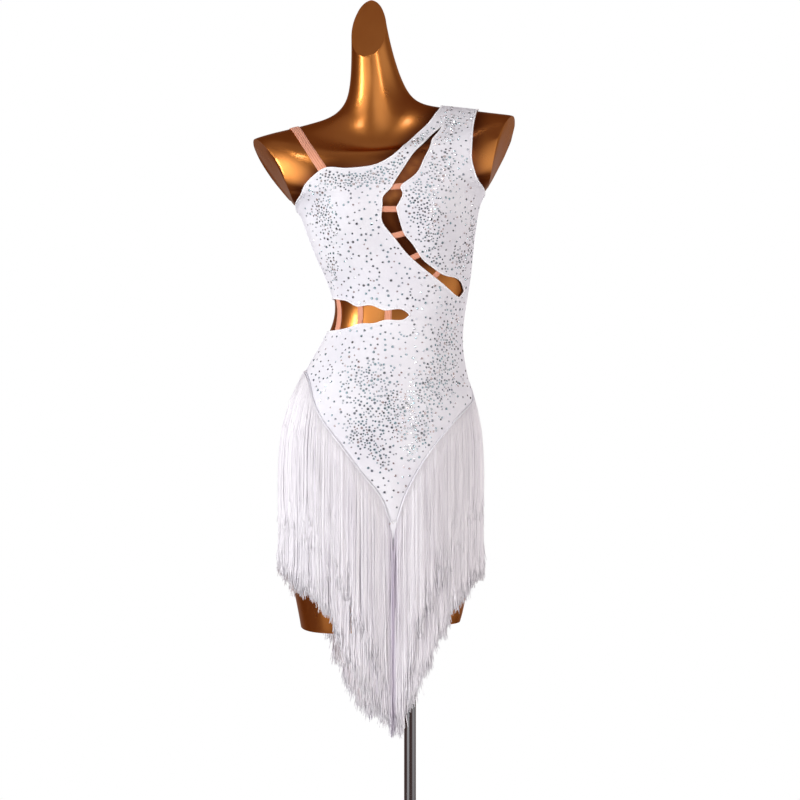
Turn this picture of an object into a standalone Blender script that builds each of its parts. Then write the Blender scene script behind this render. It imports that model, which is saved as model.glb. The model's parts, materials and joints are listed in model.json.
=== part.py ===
"""Latin dance dress on a limbless display form with a pole stand.

X runs to the wearer's left, Y to the back and Z up.  The floor is Z = 0 and the pole stands on the
origin.  Left and right in the names are as seen from the front, so left is -X.  The form is one
lofted solid, and each piece of cloth is a thin wall wrapped on its surface.
"""
import math

import bmesh
import bpy
import numpy as np
from mathutils import Vector
from mathutils.bvhtree import BVHTree
from mathutils.geometry import delaunay_2d_cdt

# ---------------------------------------------------------------- driving sizes, metres
CLOTH_OFF = 0.0018          # clear space between the form and the inside of the cloth
CLOTH_LEAST = 0.0009        # least clear space between its points
CLOTH_WALL = 0.0012         # wall of the stretch cloth
CLEAR_ROUNDS = 3            # passes that lift the cloth clear of the form
SEAM_INSET = 0.00025        # each cloth edge is drawn back this far, so seams stand 0.5 mm apart
CLOTH_MESH = 0.0215         # size of the cloth's triangles
EDGE_STEP = 0.0125          # spacing of the points along a cut edge
FLAT_RADIUS = 0.13          # radius that unrolls the wrapped cloth to a flat sheet

ELASTIC_OFF = 0.0006        # the elastics lie on the form, under the edges of the cloth
ELASTIC_WALL = 0.0009
ELASTIC_STEP = 0.007
STRAP_STEP = 0.0075
STRIP_CAST = 0.030          # the strips are laid on the form from this far out
SHOULDER_ELASTIC_WIDTH = 0.014
SHOULDER_ELASTIC_RISE = 0.0012      # it stands this much further off on top of the shoulder
GUSSET_WIDTH = 0.010
GUSSET_OFF = 0.0028
GUSSET_STEP = 0.012

TAPE_OFF = 0.0034           # the fringe tapes lie on the hip bands
TAPE_WALL = 0.0020
TAPE_WIDTH = 0.006          # measured square to the tape
TAPE_DROP_MOST = 0.018      # and upright, where the tape runs steeply
SEAM_TAPE_SET = 0.0012      # the upper tape hangs this far below the V seam
EDGE_TAPE_LAP = 0.85        # share of the lower tape that laps over the band's edge
UPPER_FALL = 0.0072         # the upper locks fall clear of the lower ones
LOWER_FALL = TAPE_OFF
LOCK_THICK = 0.0023
LOCK_GAP = 0.0014
LOCK_TIP = 0.75             # share of the lock's width left at its tip
LOCKS = 37                  # locks on each tape
FIRST_FALL = 0.020          # the locks stand off to their own layer within this drop
FALL_LEVELS = (0.955, 0.905, 0.86, 0.815)    # heights where the locks bend over the hips
FALL_ROOM = 0.008           # least drop between two bends of a lock
REACH_CAST = 0.4            # the body is felt for from this far out
RAGGED = 0.005              # unevenness of the fringe ends
RAGGED_WAVES = (2.4, 0.7)   # radians from lock to lock of the two waves that make it

FORM_SIDES = 40
FORM_STEP = 0.0245          # spacing of the form's rings
NECK_CUT = ((-0.069, -0.004, 1.518), (-0.28, -0.78, 0.56))       # point, outward direction
NECK_CUT_ABOVE = 1.45       # the neck is cut only above this height
# Flat cuts of the shoulder caps.  Columns: top x, z; bottom x, z; least height of the cap.
CAP_CUTS = {-1: (-0.2464, 1.3424, -0.181, 1.234, 1.216), 1: (0.1665, 1.389, 0.123, 1.2635, 1.240)}
CAP_SKEW = 0.20             # the cut faces turn slightly to the front
CAP_SKEW_REACH = 0.045
CAP_SKEW_GAIN = 1.6         # how fast the skew grows up the cut face
CAP_INNER_X = 0.06          # the caps lie further from the middle than this
BUST = ((-0.078, 1.200), (0.076, 1.208))     # x from the centre line, z
BUST_RISE = 0.019
BUST_SPREAD = (0.050, 0.060)

CROTCH_POINTS = 7           # points across the saddle between the thighs
CROTCH_DROP = 0.016
STUB_TILT = 0.010           # the right stub ends this much higher than the left

POLE_RADIUS = 0.0095
SOCKET_RADIUS = 0.0145
SOCKET_HEIGHT = 0.016
BASE_RADIUS = 0.150
BASE_HEIGHT = 0.008
HUB_RADIUS = 0.022
HUB_HEIGHT = 0.030
PART_GAP = 0.0003
ROUND_SIDES = 28

# Sections of the form from the neck down.  Columns: left edge x, z; right edge x, z; front y and
# back y on the centre line; y of the widest place; fall of the front; rise of the back; power of
# the oval; turn in degrees.
SECTIONS = {
    "neck_top": (-0.093, 1.597, -0.046, 1.597, -0.038, 0.034, -0.004, 0.000, 0.000, 2.00, 0),
    "neck_high": (-0.094, 1.523, -0.037, 1.526, -0.039, 0.040, -0.002, 0.004, 0.004, 2.00, 0),
    "neck_mid": (-0.094, 1.469, -0.024, 1.472, -0.040, 0.050, 0.002, 0.010, 0.006, 2.00, 0),
    "neck_low": (-0.097, 1.427, -0.010, 1.434, -0.043, 0.060, 0.006, 0.024, 0.010, 2.00, 0),
    "neck_base": (-0.104, 1.402, 0.003, 1.413, -0.052, 0.068, 0.008, 0.042, 0.014, 2.00, 0),
    "yoke_in": (-0.122, 1.384, 0.022, 1.402, -0.062, 0.075, 0.010, 0.054, 0.018, 2.00, 0),
    "yoke_mid": (-0.149, 1.374, 0.054, 1.397, -0.070, 0.081, 0.010, 0.060, 0.018, 2.00, 0),
    "yoke_out": (-0.186, 1.364, 0.096, 1.393, -0.078, 0.087, 0.010, 0.060, 0.014, 2.00, 0),
    "shoulder": (-0.227, 1.354, 0.141, 1.387, -0.086, 0.092, 0.008, 0.054, 0.006, 2.05, 0),
    "stub_top": (-0.262, 1.339, 0.178, 1.379, -0.092, 0.096, 0.006, 0.046, 0.000, 2.10, 0),
    "stub_upper": (-0.278, 1.317, 0.195, 1.358, -0.098, 0.099, 0.004, 0.036, 0.000, 2.10, 0),
    "stub_mid": (-0.275, 1.288, 0.194, 1.326, -0.103, 0.101, 0.003, 0.024, 0.000, 2.10, 0),
    "stub_low": (-0.250, 1.259, 0.176, 1.294, -0.107, 0.102, 0.002, 0.014, 0.000, 2.10, 0),
    "armpit": (-0.188, 1.240, 0.127, 1.269, -0.109, 0.101, 0.001, 0.008, 0.000, 2.15, 0),
    "chest": (-0.1725, 1.226, 0.1110, 1.251, -0.110, 0.100, 0.000, 0.004, 0.000, 2.20, 0),
    "bust": (-0.167, 1.208, 0.106, 1.226, -0.108, 0.097, 0.000, 0.000, 0.000, 2.20, 0),
    "under_bust": (-0.155, 1.176, 0.100, 1.184, -0.099, 0.091, 0.000, 0.000, 0.000, 2.20, 0),
    "ribs": (-0.140, 1.139, 0.096, 1.139, -0.092, 0.085, 0.000, 0.000, 0.000, 2.15, 0),
    "rib_edge": (-0.125, 1.107, 0.091, 1.102, -0.088, 0.081, 0.000, 0.000, 0.000, 2.10, 1),
    "waist": (-0.120, 1.064, 0.083, 1.052, -0.086, 0.079, 0.001, 0.000, 0.000, 2.10, 3),
    "waist_low": (-0.130, 1.034, 0.082, 1.019, -0.088, 0.085, 0.003, 0.000, 0.000, 2.10, 5),
    "high_hip": (-0.147, 1.005, 0.085, 0.992, -0.093, 0.094, 0.005, 0.000, 0.000, 2.15, 6),
    "seam_height": (-0.167, 0.970, 0.091, 0.963, -0.098, 0.105, 0.008, 0.000, 0.000, 2.20, 8),
    "hip_high": (-0.184, 0.934, 0.100, 0.931, -0.101, 0.117, 0.010, 0.000, 0.000, 2.20, 9),
    "hip_mid": (-0.196, 0.898, 0.107, 0.896, -0.103, 0.127, 0.012, 0.000, 0.000, 2.25, 10),
    "hip_full": (-0.203, 0.859, 0.112, 0.858, -0.102, 0.132, 0.012, 0.000, 0.000, 2.25, 10),
    "seat": (-0.206, 0.816, 0.114, 0.816, -0.100, 0.131, 0.012, 0.000, 0.000, 2.25, 10),
    "seat_low": (-0.205, 0.768, 0.113, 0.768, -0.097, 0.123, 0.010, 0.000, 0.000, 2.25, 10),
    "crotch": (-0.200, 0.722, 0.107, 0.722, -0.094, 0.110, 0.008, 0.000, 0.000, 2.25, 10),
    "fork": (-0.198, 0.700, 0.104, 0.700, -0.092, 0.104, 0.007, 0.000, 0.000, 2.25, 10),
}

# Thigh stubs below the fork.  Columns: z; outer and inner edge from the centre line; front y; back y.
THIGHS = {
    "thigh_top": (0.668, 0.145, 0.010, -0.089, 0.097),
    "thigh_high": (0.640, 0.141, 0.010, -0.088, 0.093),
    "thigh_mid": (0.612, 0.136, 0.010, -0.086, 0.090),
    "thigh_low": (0.588, 0.131, 0.011, -0.085, 0.087),
    "stub_end": (0.565, 0.127, 0.012, -0.083, 0.085),
}
THIGH_CENTRE = (-0.0475, 0.007)
THIGH_TURN = 10
THIGH_POWER = 2.4
THIGH_INNER_ARC = 40        # degrees each side of the middle of the inner edge that face the saddle

# Cut edges of the cloth seen straight from the front: x, z on the surface.
NECKLINE = ((0.048, 1.390), (0.040, 1.378), (0.028, 1.360), (0.010, 1.341), (-0.008, 1.322),
            (-0.025, 1.307), (-0.042, 1.296), (-0.059, 1.289), (-0.081, 1.286), (-0.106, 1.285),
            (-0.127, 1.287))
LEFT_ARM = ((-0.142, 1.280), (-0.153, 1.271), (-0.162, 1.262), (-0.169, 1.250))
RIGHT_ARM = ((0.107, 1.270), (0.099, 1.285), (0.095, 1.301), (0.095, 1.321), (0.097, 1.344),
             (0.101, 1.368), (0.108, 1.390))
KEYHOLE_LEFT = ((0.052, 1.360), (0.037, 1.345), (0.017, 1.323), (0.005, 1.311), (-0.005, 1.296),
                (-0.015, 1.280), (-0.025, 1.264), (-0.031, 1.254), (-0.039, 1.246),
                (-0.044, 1.238), (-0.044, 1.224), (-0.046, 1.209), (-0.042, 1.199),
                (-0.029, 1.183), (-0.013, 1.163), (0.011, 1.139), (0.035, 1.120),
                (0.061, 1.099), (0.071, 1.091), (0.080, 1.089))
KEYHOLE_RIGHT = ((0.083, 1.100), (0.079, 1.113), (0.067, 1.121), (0.049, 1.125), (0.037, 1.133),
                 (0.017, 1.150), (0.005, 1.169), (-0.010, 1.188), (-0.016, 1.208),
                 (-0.021, 1.224), (-0.014, 1.236), (-0.013, 1.251), (-0.011, 1.260),
                 (-0.001, 1.267), (0.011, 1.278), (0.020, 1.297), (0.029, 1.315), (0.038, 1.336),
                 (0.052, 1.360))
WAIST_TOP = ((-0.103, 1.086), (-0.093, 1.082), (-0.085, 1.076), (-0.059, 1.076),
             (-0.039, 1.068), (-0.019, 1.070), (-0.008, 1.067), (-0.001, 1.060))
WAIST_BOTTOM = ((-0.001, 1.060), (-0.007, 1.054), (-0.021, 1.051), (-0.041, 1.051),
                (-0.052, 1.047), (-0.075, 1.046), (-0.094, 1.040), (-0.107, 1.037))
SEAM_LEFT = ((-0.157, 0.956), (-0.150, 0.928), (-0.141, 0.906), (-0.112, 0.865),
             (-0.076, 0.816), (-0.045, 0.775), (-0.033, 0.738))
SEAM_RIGHT = ((0.099, 0.938), (0.094, 0.921), (0.073, 0.900), (0.032, 0.851), (0.001, 0.800),
              (-0.016, 0.758), (-0.021, 0.738))
BAND_EDGE = ((-0.179, 0.878), (-0.143, 0.841), (-0.101, 0.783), (-0.069, 0.738), (-0.053, 0.711),
             (-0.036, 0.7045))

# The same on the back, seen from the front: x, z.
BACK_NECKLINE = ((-0.134, 1.284), (-0.105, 1.289), (-0.070, 1.298), (-0.035, 1.313),
                 (0.000, 1.337), (0.028, 1.364), (0.046, 1.392))
BACK_LEFT_ARM = ((-0.168, 1.253), (-0.160, 1.264), (-0.149, 1.276))
BACK_RIGHT_ARM = ((0.108, 1.392), (0.101, 1.362), (0.098, 1.330), (0.099, 1.300),
                  (0.106, 1.276))
BACK_WAIST_CUT = ((-0.104, 1.086), (-0.086, 1.081), (-0.072, 1.072), (-0.070, 1.058),
                  (-0.080, 1.047), (-0.098, 1.040), (-0.108, 1.037))

# Places where a cut edge meets the side of the body: z.
SIDE_LEFT = {"underarm": 1.231, "waist_top": 1.091, "waist_bottom": 1.035, "seam": 0.974,
             "band": 0.905}
SIDE_RIGHT = {"shoulder_in": (0.050, 1.397), "shoulder_out": (0.110, 1.392), "underarm": 1.256,
              "seam": 0.958, "band": 0.900}

SHOULDER_ELASTIC = (((-0.1335, 1.2815), -1), ((-0.148, 1.304), -1), ((-0.160, 1.323), -1),
                    ((-0.172, 1.343), -1), ((-0.186, 1.365), 0), ((-0.178, 1.340), 1),
                    ((-0.166, 1.315), 1), ((-0.152, 1.292), 1), ((-0.143, 1.277), 1))

# Elastics across the cut-outs.  Columns: first end x, z; second end x, z; width.
ELASTICS = {
    "keyhole_elastic_1": (-0.031, 1.256, -0.009, 1.258, 0.009),
    "keyhole_elastic_2": (-0.048, 1.222, -0.016, 1.222, 0.009),
    "keyhole_elastic_3": (-0.035, 1.180, -0.004, 1.187, 0.009),
    "keyhole_elastic_4": (-0.008, 1.144, 0.020, 1.156, 0.009),
    "keyhole_elastic_5": (0.031, 1.114, 0.047, 1.130, 0.008),
    "waist_elastic_1": (-0.115, 1.094, -0.116, 1.030, 0.014),
    "waist_elastic_2": (-0.078, 1.080, -0.079, 1.042, 0.009),
    "waist_elastic_3": (-0.034, 1.073, -0.035, 1.047, 0.011),
}

# Fringe ends seen straight from the front: x, z.
UPPER_HEM_LEFT = ((-0.215, 0.769), (-0.189, 0.739), (-0.164, 0.716), (-0.135, 0.683),
                  (-0.109, 0.647), (-0.085, 0.612), (-0.070, 0.574), (-0.053, 0.523),
                  (-0.034, 0.468))
UPPER_HEM_RIGHT = ((-0.019, 0.468), (-0.004, 0.528), (0.009, 0.574), (0.024, 0.624),
                   (0.040, 0.649), (0.073, 0.699), (0.094, 0.733), (0.121, 0.761))
LOWER_HEM_LEFT = ((-0.214, 0.679), (-0.198, 0.659), (-0.172, 0.631), (-0.148, 0.616),
                  (-0.127, 0.594), (-0.106, 0.567), (-0.095, 0.535), (-0.078, 0.490),
                  (-0.059, 0.458), (-0.039, 0.434), (-0.024, 0.420))
LOWER_HEM_RIGHT = ((-0.024, 0.420), (-0.004, 0.459), (0.010, 0.484), (0.021, 0.514),
                   (0.033, 0.541), (0.046, 0.567), (0.062, 0.592), (0.078, 0.612),
                   (0.094, 0.631), (0.108, 0.646), (0.120, 0.673))
BACK_HEM_FALL = 0.028       # the back fringe reaches this much lower than the front
BACK_HEM_DEPTH = 0.09       # over this depth behind the middle

# Materials.  Columns: colour, roughness, metallic.
MATERIALS = {
    "gold_form": ((0.55, 0.27, 0.08), 0.18, 1.0),
    "chrome": ((0.62, 0.62, 0.63), 0.12, 1.0),
    "white_stretch": ((0.86, 0.84, 0.88), 0.55, 0.0),
    "peach_elastic": ((0.75, 0.32, 0.22), 0.60, 0.0),
    "white_fringe": ((0.87, 0.85, 0.89), 0.50, 0.0),
}


# ---------------------------------------------------------------- curves
def cubic(knots, values, at):
    """Natural cubic spline through one row of values per knot, read at the places `at`."""
    step = np.diff(knots)
    slope = np.diff(values, axis=0) / step[:, None]
    size = len(knots)
    matrix = np.eye(size)
    right = np.zeros_like(values)
    for i in range(1, size - 1):
        matrix[i, i - 1:i + 2] = step[i - 1], 2 * (step[i - 1] + step[i]), step[i]
        right[i] = 6 * (slope[i] - slope[i - 1])
    bend = np.linalg.solve(matrix, right)
    low = np.clip(np.searchsorted(knots, at, side="right") - 1, 0, size - 2)
    gap = step[low][:, None]
    near = (knots[low + 1] - at)[:, None] / gap
    far = 1 - near
    curve = (near ** 3 - near) * bend[low] + (far ** 3 - far) * bend[low + 1]
    return near * values[low] + far * values[low + 1] + curve * gap ** 2 / 6


def smooth_line(points, step):
    """Rows at an even spacing of about `step` along a smooth curve; the first three columns count."""
    points = np.asarray(points, float)
    chord = np.linalg.norm(np.diff(points[:, :3], axis=0), axis=1)
    knots = np.concatenate(([0.0], np.cumsum(chord)))
    count = max(1, round(knots[-1] / step))
    if len(points) == 2:
        share = np.linspace(0, 1, count + 1)[:, None]
        return points[0] * (1 - share) + points[1] * share
    fine = cubic(knots, points, np.linspace(0, knots[-1], 12 * count + 1))
    run = np.cumsum(np.linalg.norm(np.diff(fine[:, :3], axis=0, prepend=fine[:1, :3]), axis=1))
    at = np.linspace(0, run[-1], count + 1)
    return np.stack([np.interp(at, run, fine[:, k]) for k in range(fine.shape[1])], axis=1)


# ---------------------------------------------------------------- the body's surface
class Body:
    """The form's smooth surface: `turn` in degrees from the front, `row` down from the neck."""

    def __init__(self):
        table = np.array(list(SECTIONS.values()), float)
        side = np.stack([(table[:, 0] - table[:, 2]) / 2, table[:, 1], table[:, 4]], axis=1)
        chord = np.linalg.norm(np.diff(side, axis=0), axis=1)
        self.knots = np.concatenate(([0.0], np.cumsum(chord)))
        self.table = table
        self.length = self.knots[-1]
        turns = np.arange(-180, 180.1, 1.0)
        rows = np.arange(0, self.length, 0.002)
        self.grid_turn, self.grid_row = (g.ravel() for g in np.meshgrid(turns, rows))
        self.grid_points = self.points(self.grid_turn, self.grid_row)
        self.tree = self.fine_tree(len(rows), len(turns))

    def fine_tree(self, row_count, turn_count):
        """A search tree over a fine mesh of the surface."""
        corners = [tuple(p) for p in self.grid_points]
        faces = []
        for r in range(row_count - 1):
            for t in range(turn_count - 1):
                a = r * turn_count + t
                faces.append((a, a + 1, a + turn_count + 1, a + turn_count))
        return BVHTree.FromPolygons(corners, faces)

    def points(self, turn, row):
        """Surface points for arrays of turn and row."""
        turn, row = np.broadcast_arrays(np.asarray(turn, float), np.asarray(row, float))
        values = cubic(self.knots, self.table, np.clip(row, 0, self.length))
        left_x, left_z, right_x, right_z, front_y, back_y = values[:, :6].T
        side_y, front_fall, back_rise, power, yaw = values[:, 6:].T
        sine = np.sin(np.radians(turn))
        cosine = np.cos(np.radians(turn))
        half = (right_x - left_x) / 2
        across = half * np.sign(sine) * np.abs(sine) ** (2 / power)
        reach = np.where(cosine > 0, front_y - side_y, back_y - side_y)
        depth = reach * np.abs(cosine) ** (2 / power)
        lift = np.where(cosine > 0, -front_fall, back_rise) * cosine ** 2
        z = (left_z + right_z) / 2 + (right_z - left_z) / 2 * sine + lift
        front = np.clip(cosine / 0.5, 0, 1)
        front = front * front * (3 - 2 * front)
        for bust_x, bust_z in BUST:
            away = ((across - bust_x) / BUST_SPREAD[0]) ** 2 + ((z - bust_z) / BUST_SPREAD[1]) ** 2
            depth = depth - BUST_RISE * front * np.exp(-away)
        angle = np.radians(yaw)
        x = (left_x + right_x) / 2 + across * np.cos(angle) - depth * np.sin(angle)
        y = side_y + across * np.sin(angle) + depth * np.cos(angle)
        return np.stack([x, y, z], axis=1)

    def normals(self, turn, row):
        """Outward directions for arrays of turn and row."""
        turn = np.asarray(turn, float)
        row = np.clip(np.asarray(row, float), 0.002, self.length - 0.002)
        along = self.points(turn + 1.5, row) - self.points(turn - 1.5, row)
        down = self.points(turn, row + 0.002) - self.points(turn, row - 0.002)
        out = np.cross(down, along)
        return out / np.linalg.norm(out, axis=1)[:, None]

    def find(self, x, z, side):
        """Turn and row of the surface point seen at x, z: side -1 is the front and 1 the back."""
        facing = np.cos(np.radians(self.grid_turn)) * side <= 0.0
        miss = (self.grid_points[:, 0] - x) ** 2 + (self.grid_points[:, 2] - z) ** 2
        best = np.argmin(np.where(facing, miss, 9.0))
        turn, row = self.grid_turn[best], self.grid_row[best]
        for _ in range(3):
            here = self.points([turn, turn + 0.5, turn], [row, row, row + 0.001])[:, (0, 2)]
            matrix = np.array([here[1] - here[0], here[2] - here[0]]).T
            if abs(np.linalg.det(matrix)) < 2e-7:
                break
            move = np.linalg.solve(matrix, np.array([x, z]) - here[0])
            turn += 0.5 * float(np.clip(move[0], -2, 2))
            row += 0.001 * float(np.clip(move[1], -2, 2))
        return turn, row

    def trace(self, line, side):
        """A front or back outline as an array of turn and row."""
        found = np.array([self.find(x, z, side) for x, z in line])
        if side > 0:
            found[found[:, 0] < 0, 0] += 360
        return found

    def on_side(self, z, turn):
        """Row where the surface has height z at the given turn."""
        rows = np.arange(0.15, self.length, 0.001)
        heights = self.points(np.full(len(rows), turn), rows)[:, 2]
        return rows[np.argmin(np.abs(heights - z))]


# ---------------------------------------------------------------- mesh helpers
def material(name):
    """The named material, made the first time it is asked for."""
    colour, roughness, metallic = MATERIALS[name]
    made = bpy.data.materials.get(name)
    if made is None:
        made = bpy.data.materials.new(name)
        made.use_nodes = True
        shader = made.node_tree.nodes["Principled BSDF"]
        shader.inputs["Base Color"].default_value = (*colour, 1.0)
        shader.inputs["Roughness"].default_value = roughness
        shader.inputs["Metallic"].default_value = metallic
    return made


def add_object(name, mesh_data, material_name, smooth=True):
    """Turn a finished bmesh into a named object with one material."""
    bmesh.ops.recalc_face_normals(mesh_data, faces=mesh_data.faces)
    if mesh_data.calc_volume(signed=True) < 0:
        bmesh.ops.reverse_faces(mesh_data, faces=mesh_data.faces)
    for face in mesh_data.faces:
        face.smooth = smooth
    mesh = bpy.data.meshes.new(name)
    mesh_data.to_mesh(mesh)
    mesh_data.free()
    made = bpy.data.objects.new(name, mesh)
    bpy.context.collection.objects.link(made)
    mesh.materials.append(material(material_name))
    return made


def add_ring(mesh_data, points):
    """New corners at the given points."""
    return [mesh_data.verts.new(tuple(p)) for p in points]


def join_rings(mesh_data, first, second):
    """Quads between two closed rings of the same count."""
    count = len(first)
    for i in range(count):
        j = (i + 1) % count
        mesh_data.faces.new((first[i], first[j], second[j], second[i]))


# ---------------------------------------------------------------- form
def thigh_ring(name, sign):
    """One ring of a thigh stub, from the front of its inner edge round the outside to the back."""
    z, outer, inner, front_y, back_y = THIGHS[name]
    outside = FORM_SIDES // 2
    inside = CROTCH_POINTS + 1
    arc = THIGH_INNER_ARC
    angles = [-arc - (360 - 2 * arc) * i / outside for i in range(outside + 1)]
    angles += [arc - 2 * arc * i / inside for i in range(1, inside)]
    if name == "stub_end":
        z += STUB_TILT if sign > 0 else 0.0
    turn = math.radians(THIGH_TURN)
    points = []
    for angle in angles:
        across_share = math.cos(math.radians(angle))
        depth_share = math.sin(math.radians(angle))
        reach = -front_y if depth_share < 0 else back_y
        across = math.copysign(abs(across_share) ** (2 / THIGH_POWER), across_share)
        depth = math.copysign(abs(depth_share) ** (2 / THIGH_POWER), depth_share)
        x = sign * ((outer + inner) / 2 - across * (outer - inner) / 2)
        y = depth * reach
        points.append((THIGH_CENTRE[0] + x * math.cos(turn) - y * math.sin(turn),
                       THIGH_CENTRE[1] + x * math.sin(turn) + y * math.cos(turn), z))
    return points


def slice_flat(mesh_data, faces, place, direction):
    """Cut some faces of the solid off at a plane and close the cut with a flat face."""
    parts = set(faces)
    for face in faces:
        parts.update(face.verts)
        parts.update(face.edges)
    cut = bmesh.ops.bisect_plane(mesh_data, geom=list(parts), dist=0.0004, plane_co=place,
                                 plane_no=Vector(direction).normalized(), clear_outer=True)
    edges = [e for e in cut["geom_cut"] if isinstance(e, bmesh.types.BMEdge)]
    bmesh.ops.edgeloop_fill(mesh_data, edges=edges)


def cut_caps(solid):
    """Cut both shoulder caps, each face turned a little to the front."""
    for sign, (top_x, top_z, low_x, low_z, least_z) in CAP_CUTS.items():
        direction = Vector((sign * (top_z - low_z), 0, -sign * (top_x - low_x))).normalized()
        place = Vector((low_x, 0, low_z))
        faces = [f for f in solid.faces
                 if f.calc_center_median().z > least_z
                 and sign * f.calc_center_median().x > CAP_INNER_X]
        slice_flat(solid, faces, place, direction)
        for vert in solid.verts:
            depth = (place - vert.co).dot(direction) / CAP_SKEW_REACH
            if vert.co.z > least_z and sign * vert.co.x > CAP_INNER_X and depth < 1:
                share = 1 - max(depth, 0) ** 2 * (3 - 2 * max(depth, 0))
                rise = (vert.co.z - low_z) / (top_z - low_z)
                share *= min(max(rise * CAP_SKEW_GAIN, 0), 1)
                vert.co.x += sign * CAP_SKEW * share * vert.co.y


def build_form(body):
    """Torso, neck, shoulder caps and thigh stubs as one closed solid."""
    solid = bmesh.new()
    turns = np.arange(FORM_SIDES) * 360.0 / FORM_SIDES
    count = round(body.length / FORM_STEP)
    rings = [add_ring(solid, body.points(turns, np.full(FORM_SIDES, row)))
             for row in np.linspace(0, body.length, count + 1)]
    for first, second in zip(rings, rings[1:]):
        join_rings(solid, first, second)
    solid.faces.new(rings[0])
    fork = rings[-1]
    half = FORM_SIDES // 2
    front, back = np.array(fork[0].co), np.array(fork[half].co)
    saddle = []
    for i in range(1, CROTCH_POINTS + 1):
        swing = math.pi * i / (CROTCH_POINTS + 1)
        place = front + (back - front) * (1 - math.cos(swing)) / 2
        place[2] -= CROTCH_DROP * math.sin(swing)
        saddle.append(solid.verts.new(place))
    for sign in (-1, 1):
        outside = [fork[(sign * i) % FORM_SIDES] for i in range(half + 1)]
        above = outside + saddle[::-1]
        for name in THIGHS:
            below = add_ring(solid, thigh_ring(name, sign))
            join_rings(solid, above, below)
            above = below
        solid.faces.new(above)
    crotch = [tuple(front)] + [tuple(v.co) for v in saddle] + [tuple(back)]
    neck = [f for f in solid.faces if all(v.co.z > NECK_CUT_ABOVE for v in f.verts)]
    slice_flat(solid, neck, *NECK_CUT)
    cut_caps(solid)
    bmesh.ops.dissolve_degenerate(solid, dist=0.0004, edges=solid.edges)
    form = add_object("form_torso", solid, "gold_form")
    return form, crotch


# ---------------------------------------------------------------- stand
def turned(name, profile, material_name):
    """A solid turned round the pole's axis from (radius, z) pairs, first and last on the axis."""
    solid = bmesh.new()
    rings = []
    for radius, z in profile[1:-1]:
        angles = [2 * math.pi * i / ROUND_SIDES for i in range(ROUND_SIDES)]
        rings.append(add_ring(solid, [(radius * math.cos(a), radius * math.sin(a), z)
                                      for a in angles]))
    for first, second in zip(rings, rings[1:]):
        join_rings(solid, first, second)
    solid.faces.new(rings[0])
    solid.faces.new(rings[-1])
    made = add_object(name, solid, material_name, smooth=False)
    for face in made.data.polygons:
        face.use_smooth = len(face.vertices) == 4 and abs(face.normal.z) < 0.9
    return made


def build_stand():
    """Round base plate with a hub, the pole and the socket under the thigh stub."""
    edge = 0.0015
    base_top = BASE_HEIGHT + HUB_HEIGHT
    turned("stand_base", ((0, 0), (BASE_RADIUS - edge, 0), (BASE_RADIUS, edge),
                          (BASE_RADIUS, BASE_HEIGHT - edge), (BASE_RADIUS - edge, BASE_HEIGHT),
                          (HUB_RADIUS + 0.004, BASE_HEIGHT), (HUB_RADIUS, BASE_HEIGHT + 0.004),
                          (HUB_RADIUS, base_top - edge), (HUB_RADIUS - edge, base_top),
                          (0, base_top)), "chrome")
    stub_z = THIGHS["stub_end"][0] + STUB_TILT
    socket_top = stub_z - PART_GAP
    socket_bottom = socket_top - SOCKET_HEIGHT
    turned("stand_socket", ((0, 0), (SOCKET_RADIUS - edge, socket_bottom),
                            (SOCKET_RADIUS, socket_bottom + edge), (SOCKET_RADIUS, socket_top),
                            (0, 0)), "chrome")
    turned("stand_pole", ((0, 0), (POLE_RADIUS, base_top + PART_GAP),
                          (POLE_RADIUS, socket_bottom - PART_GAP), (0, 0)), "chrome")


# ---------------------------------------------------------------- cloth walls
def to_flat(line):
    """Turn and row to metres on the unrolled sheet."""
    line = np.asarray(line, float)
    return np.stack([np.radians(line[:, 0]) * FLAT_RADIUS, line[:, 1]], axis=1)


def from_flat(flat):
    """Metres on the unrolled sheet to turn and row."""
    return np.stack([np.degrees(flat[:, 0] / FLAT_RADIUS), flat[:, 1]], axis=1)


def tidy_outline(outline):
    """Drop repeated corners and make the outline run anticlockwise."""
    kept = [p for p, q in zip(outline, np.roll(outline, 1, axis=0))
            if np.linalg.norm(p - q) > 0.0008]
    kept = np.array(kept)
    ahead = np.roll(kept, -1, axis=0)
    area = np.sum(kept[:, 0] * ahead[:, 1] - ahead[:, 0] * kept[:, 1])
    return kept if area > 0 else kept[::-1]


def drawn_in(outline, distance):
    """The closed outline with each corner moved inwards."""
    before = outline - np.roll(outline, 1, axis=0)
    after = np.roll(outline, -1, axis=0) - outline
    before = before / np.linalg.norm(before, axis=1)[:, None]
    after = after / np.linalg.norm(after, axis=1)[:, None]
    turn_in = np.stack([-(before + after)[:, 1], (before + after)[:, 0]], axis=1)
    length = np.linalg.norm(turn_in, axis=1)[:, None]
    stretch = np.clip(2 / np.maximum(length, 0.5), 1.0, 2.5)
    return outline + turn_in / np.maximum(length, 1e-6) * distance * stretch


def inside(outline, point):
    """Whether the point lies inside the closed outline."""
    x, y = point
    here = outline
    there = np.roll(outline, -1, axis=0)
    spans = (here[:, 1] > y) != (there[:, 1] > y)
    rise = np.where(spans, there[:, 1] - here[:, 1], 1.0)
    cross_x = here[:, 0] + (y - here[:, 1]) * (there[:, 0] - here[:, 0]) / rise
    return bool(np.count_nonzero(spans & (cross_x > x)) % 2)


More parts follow.
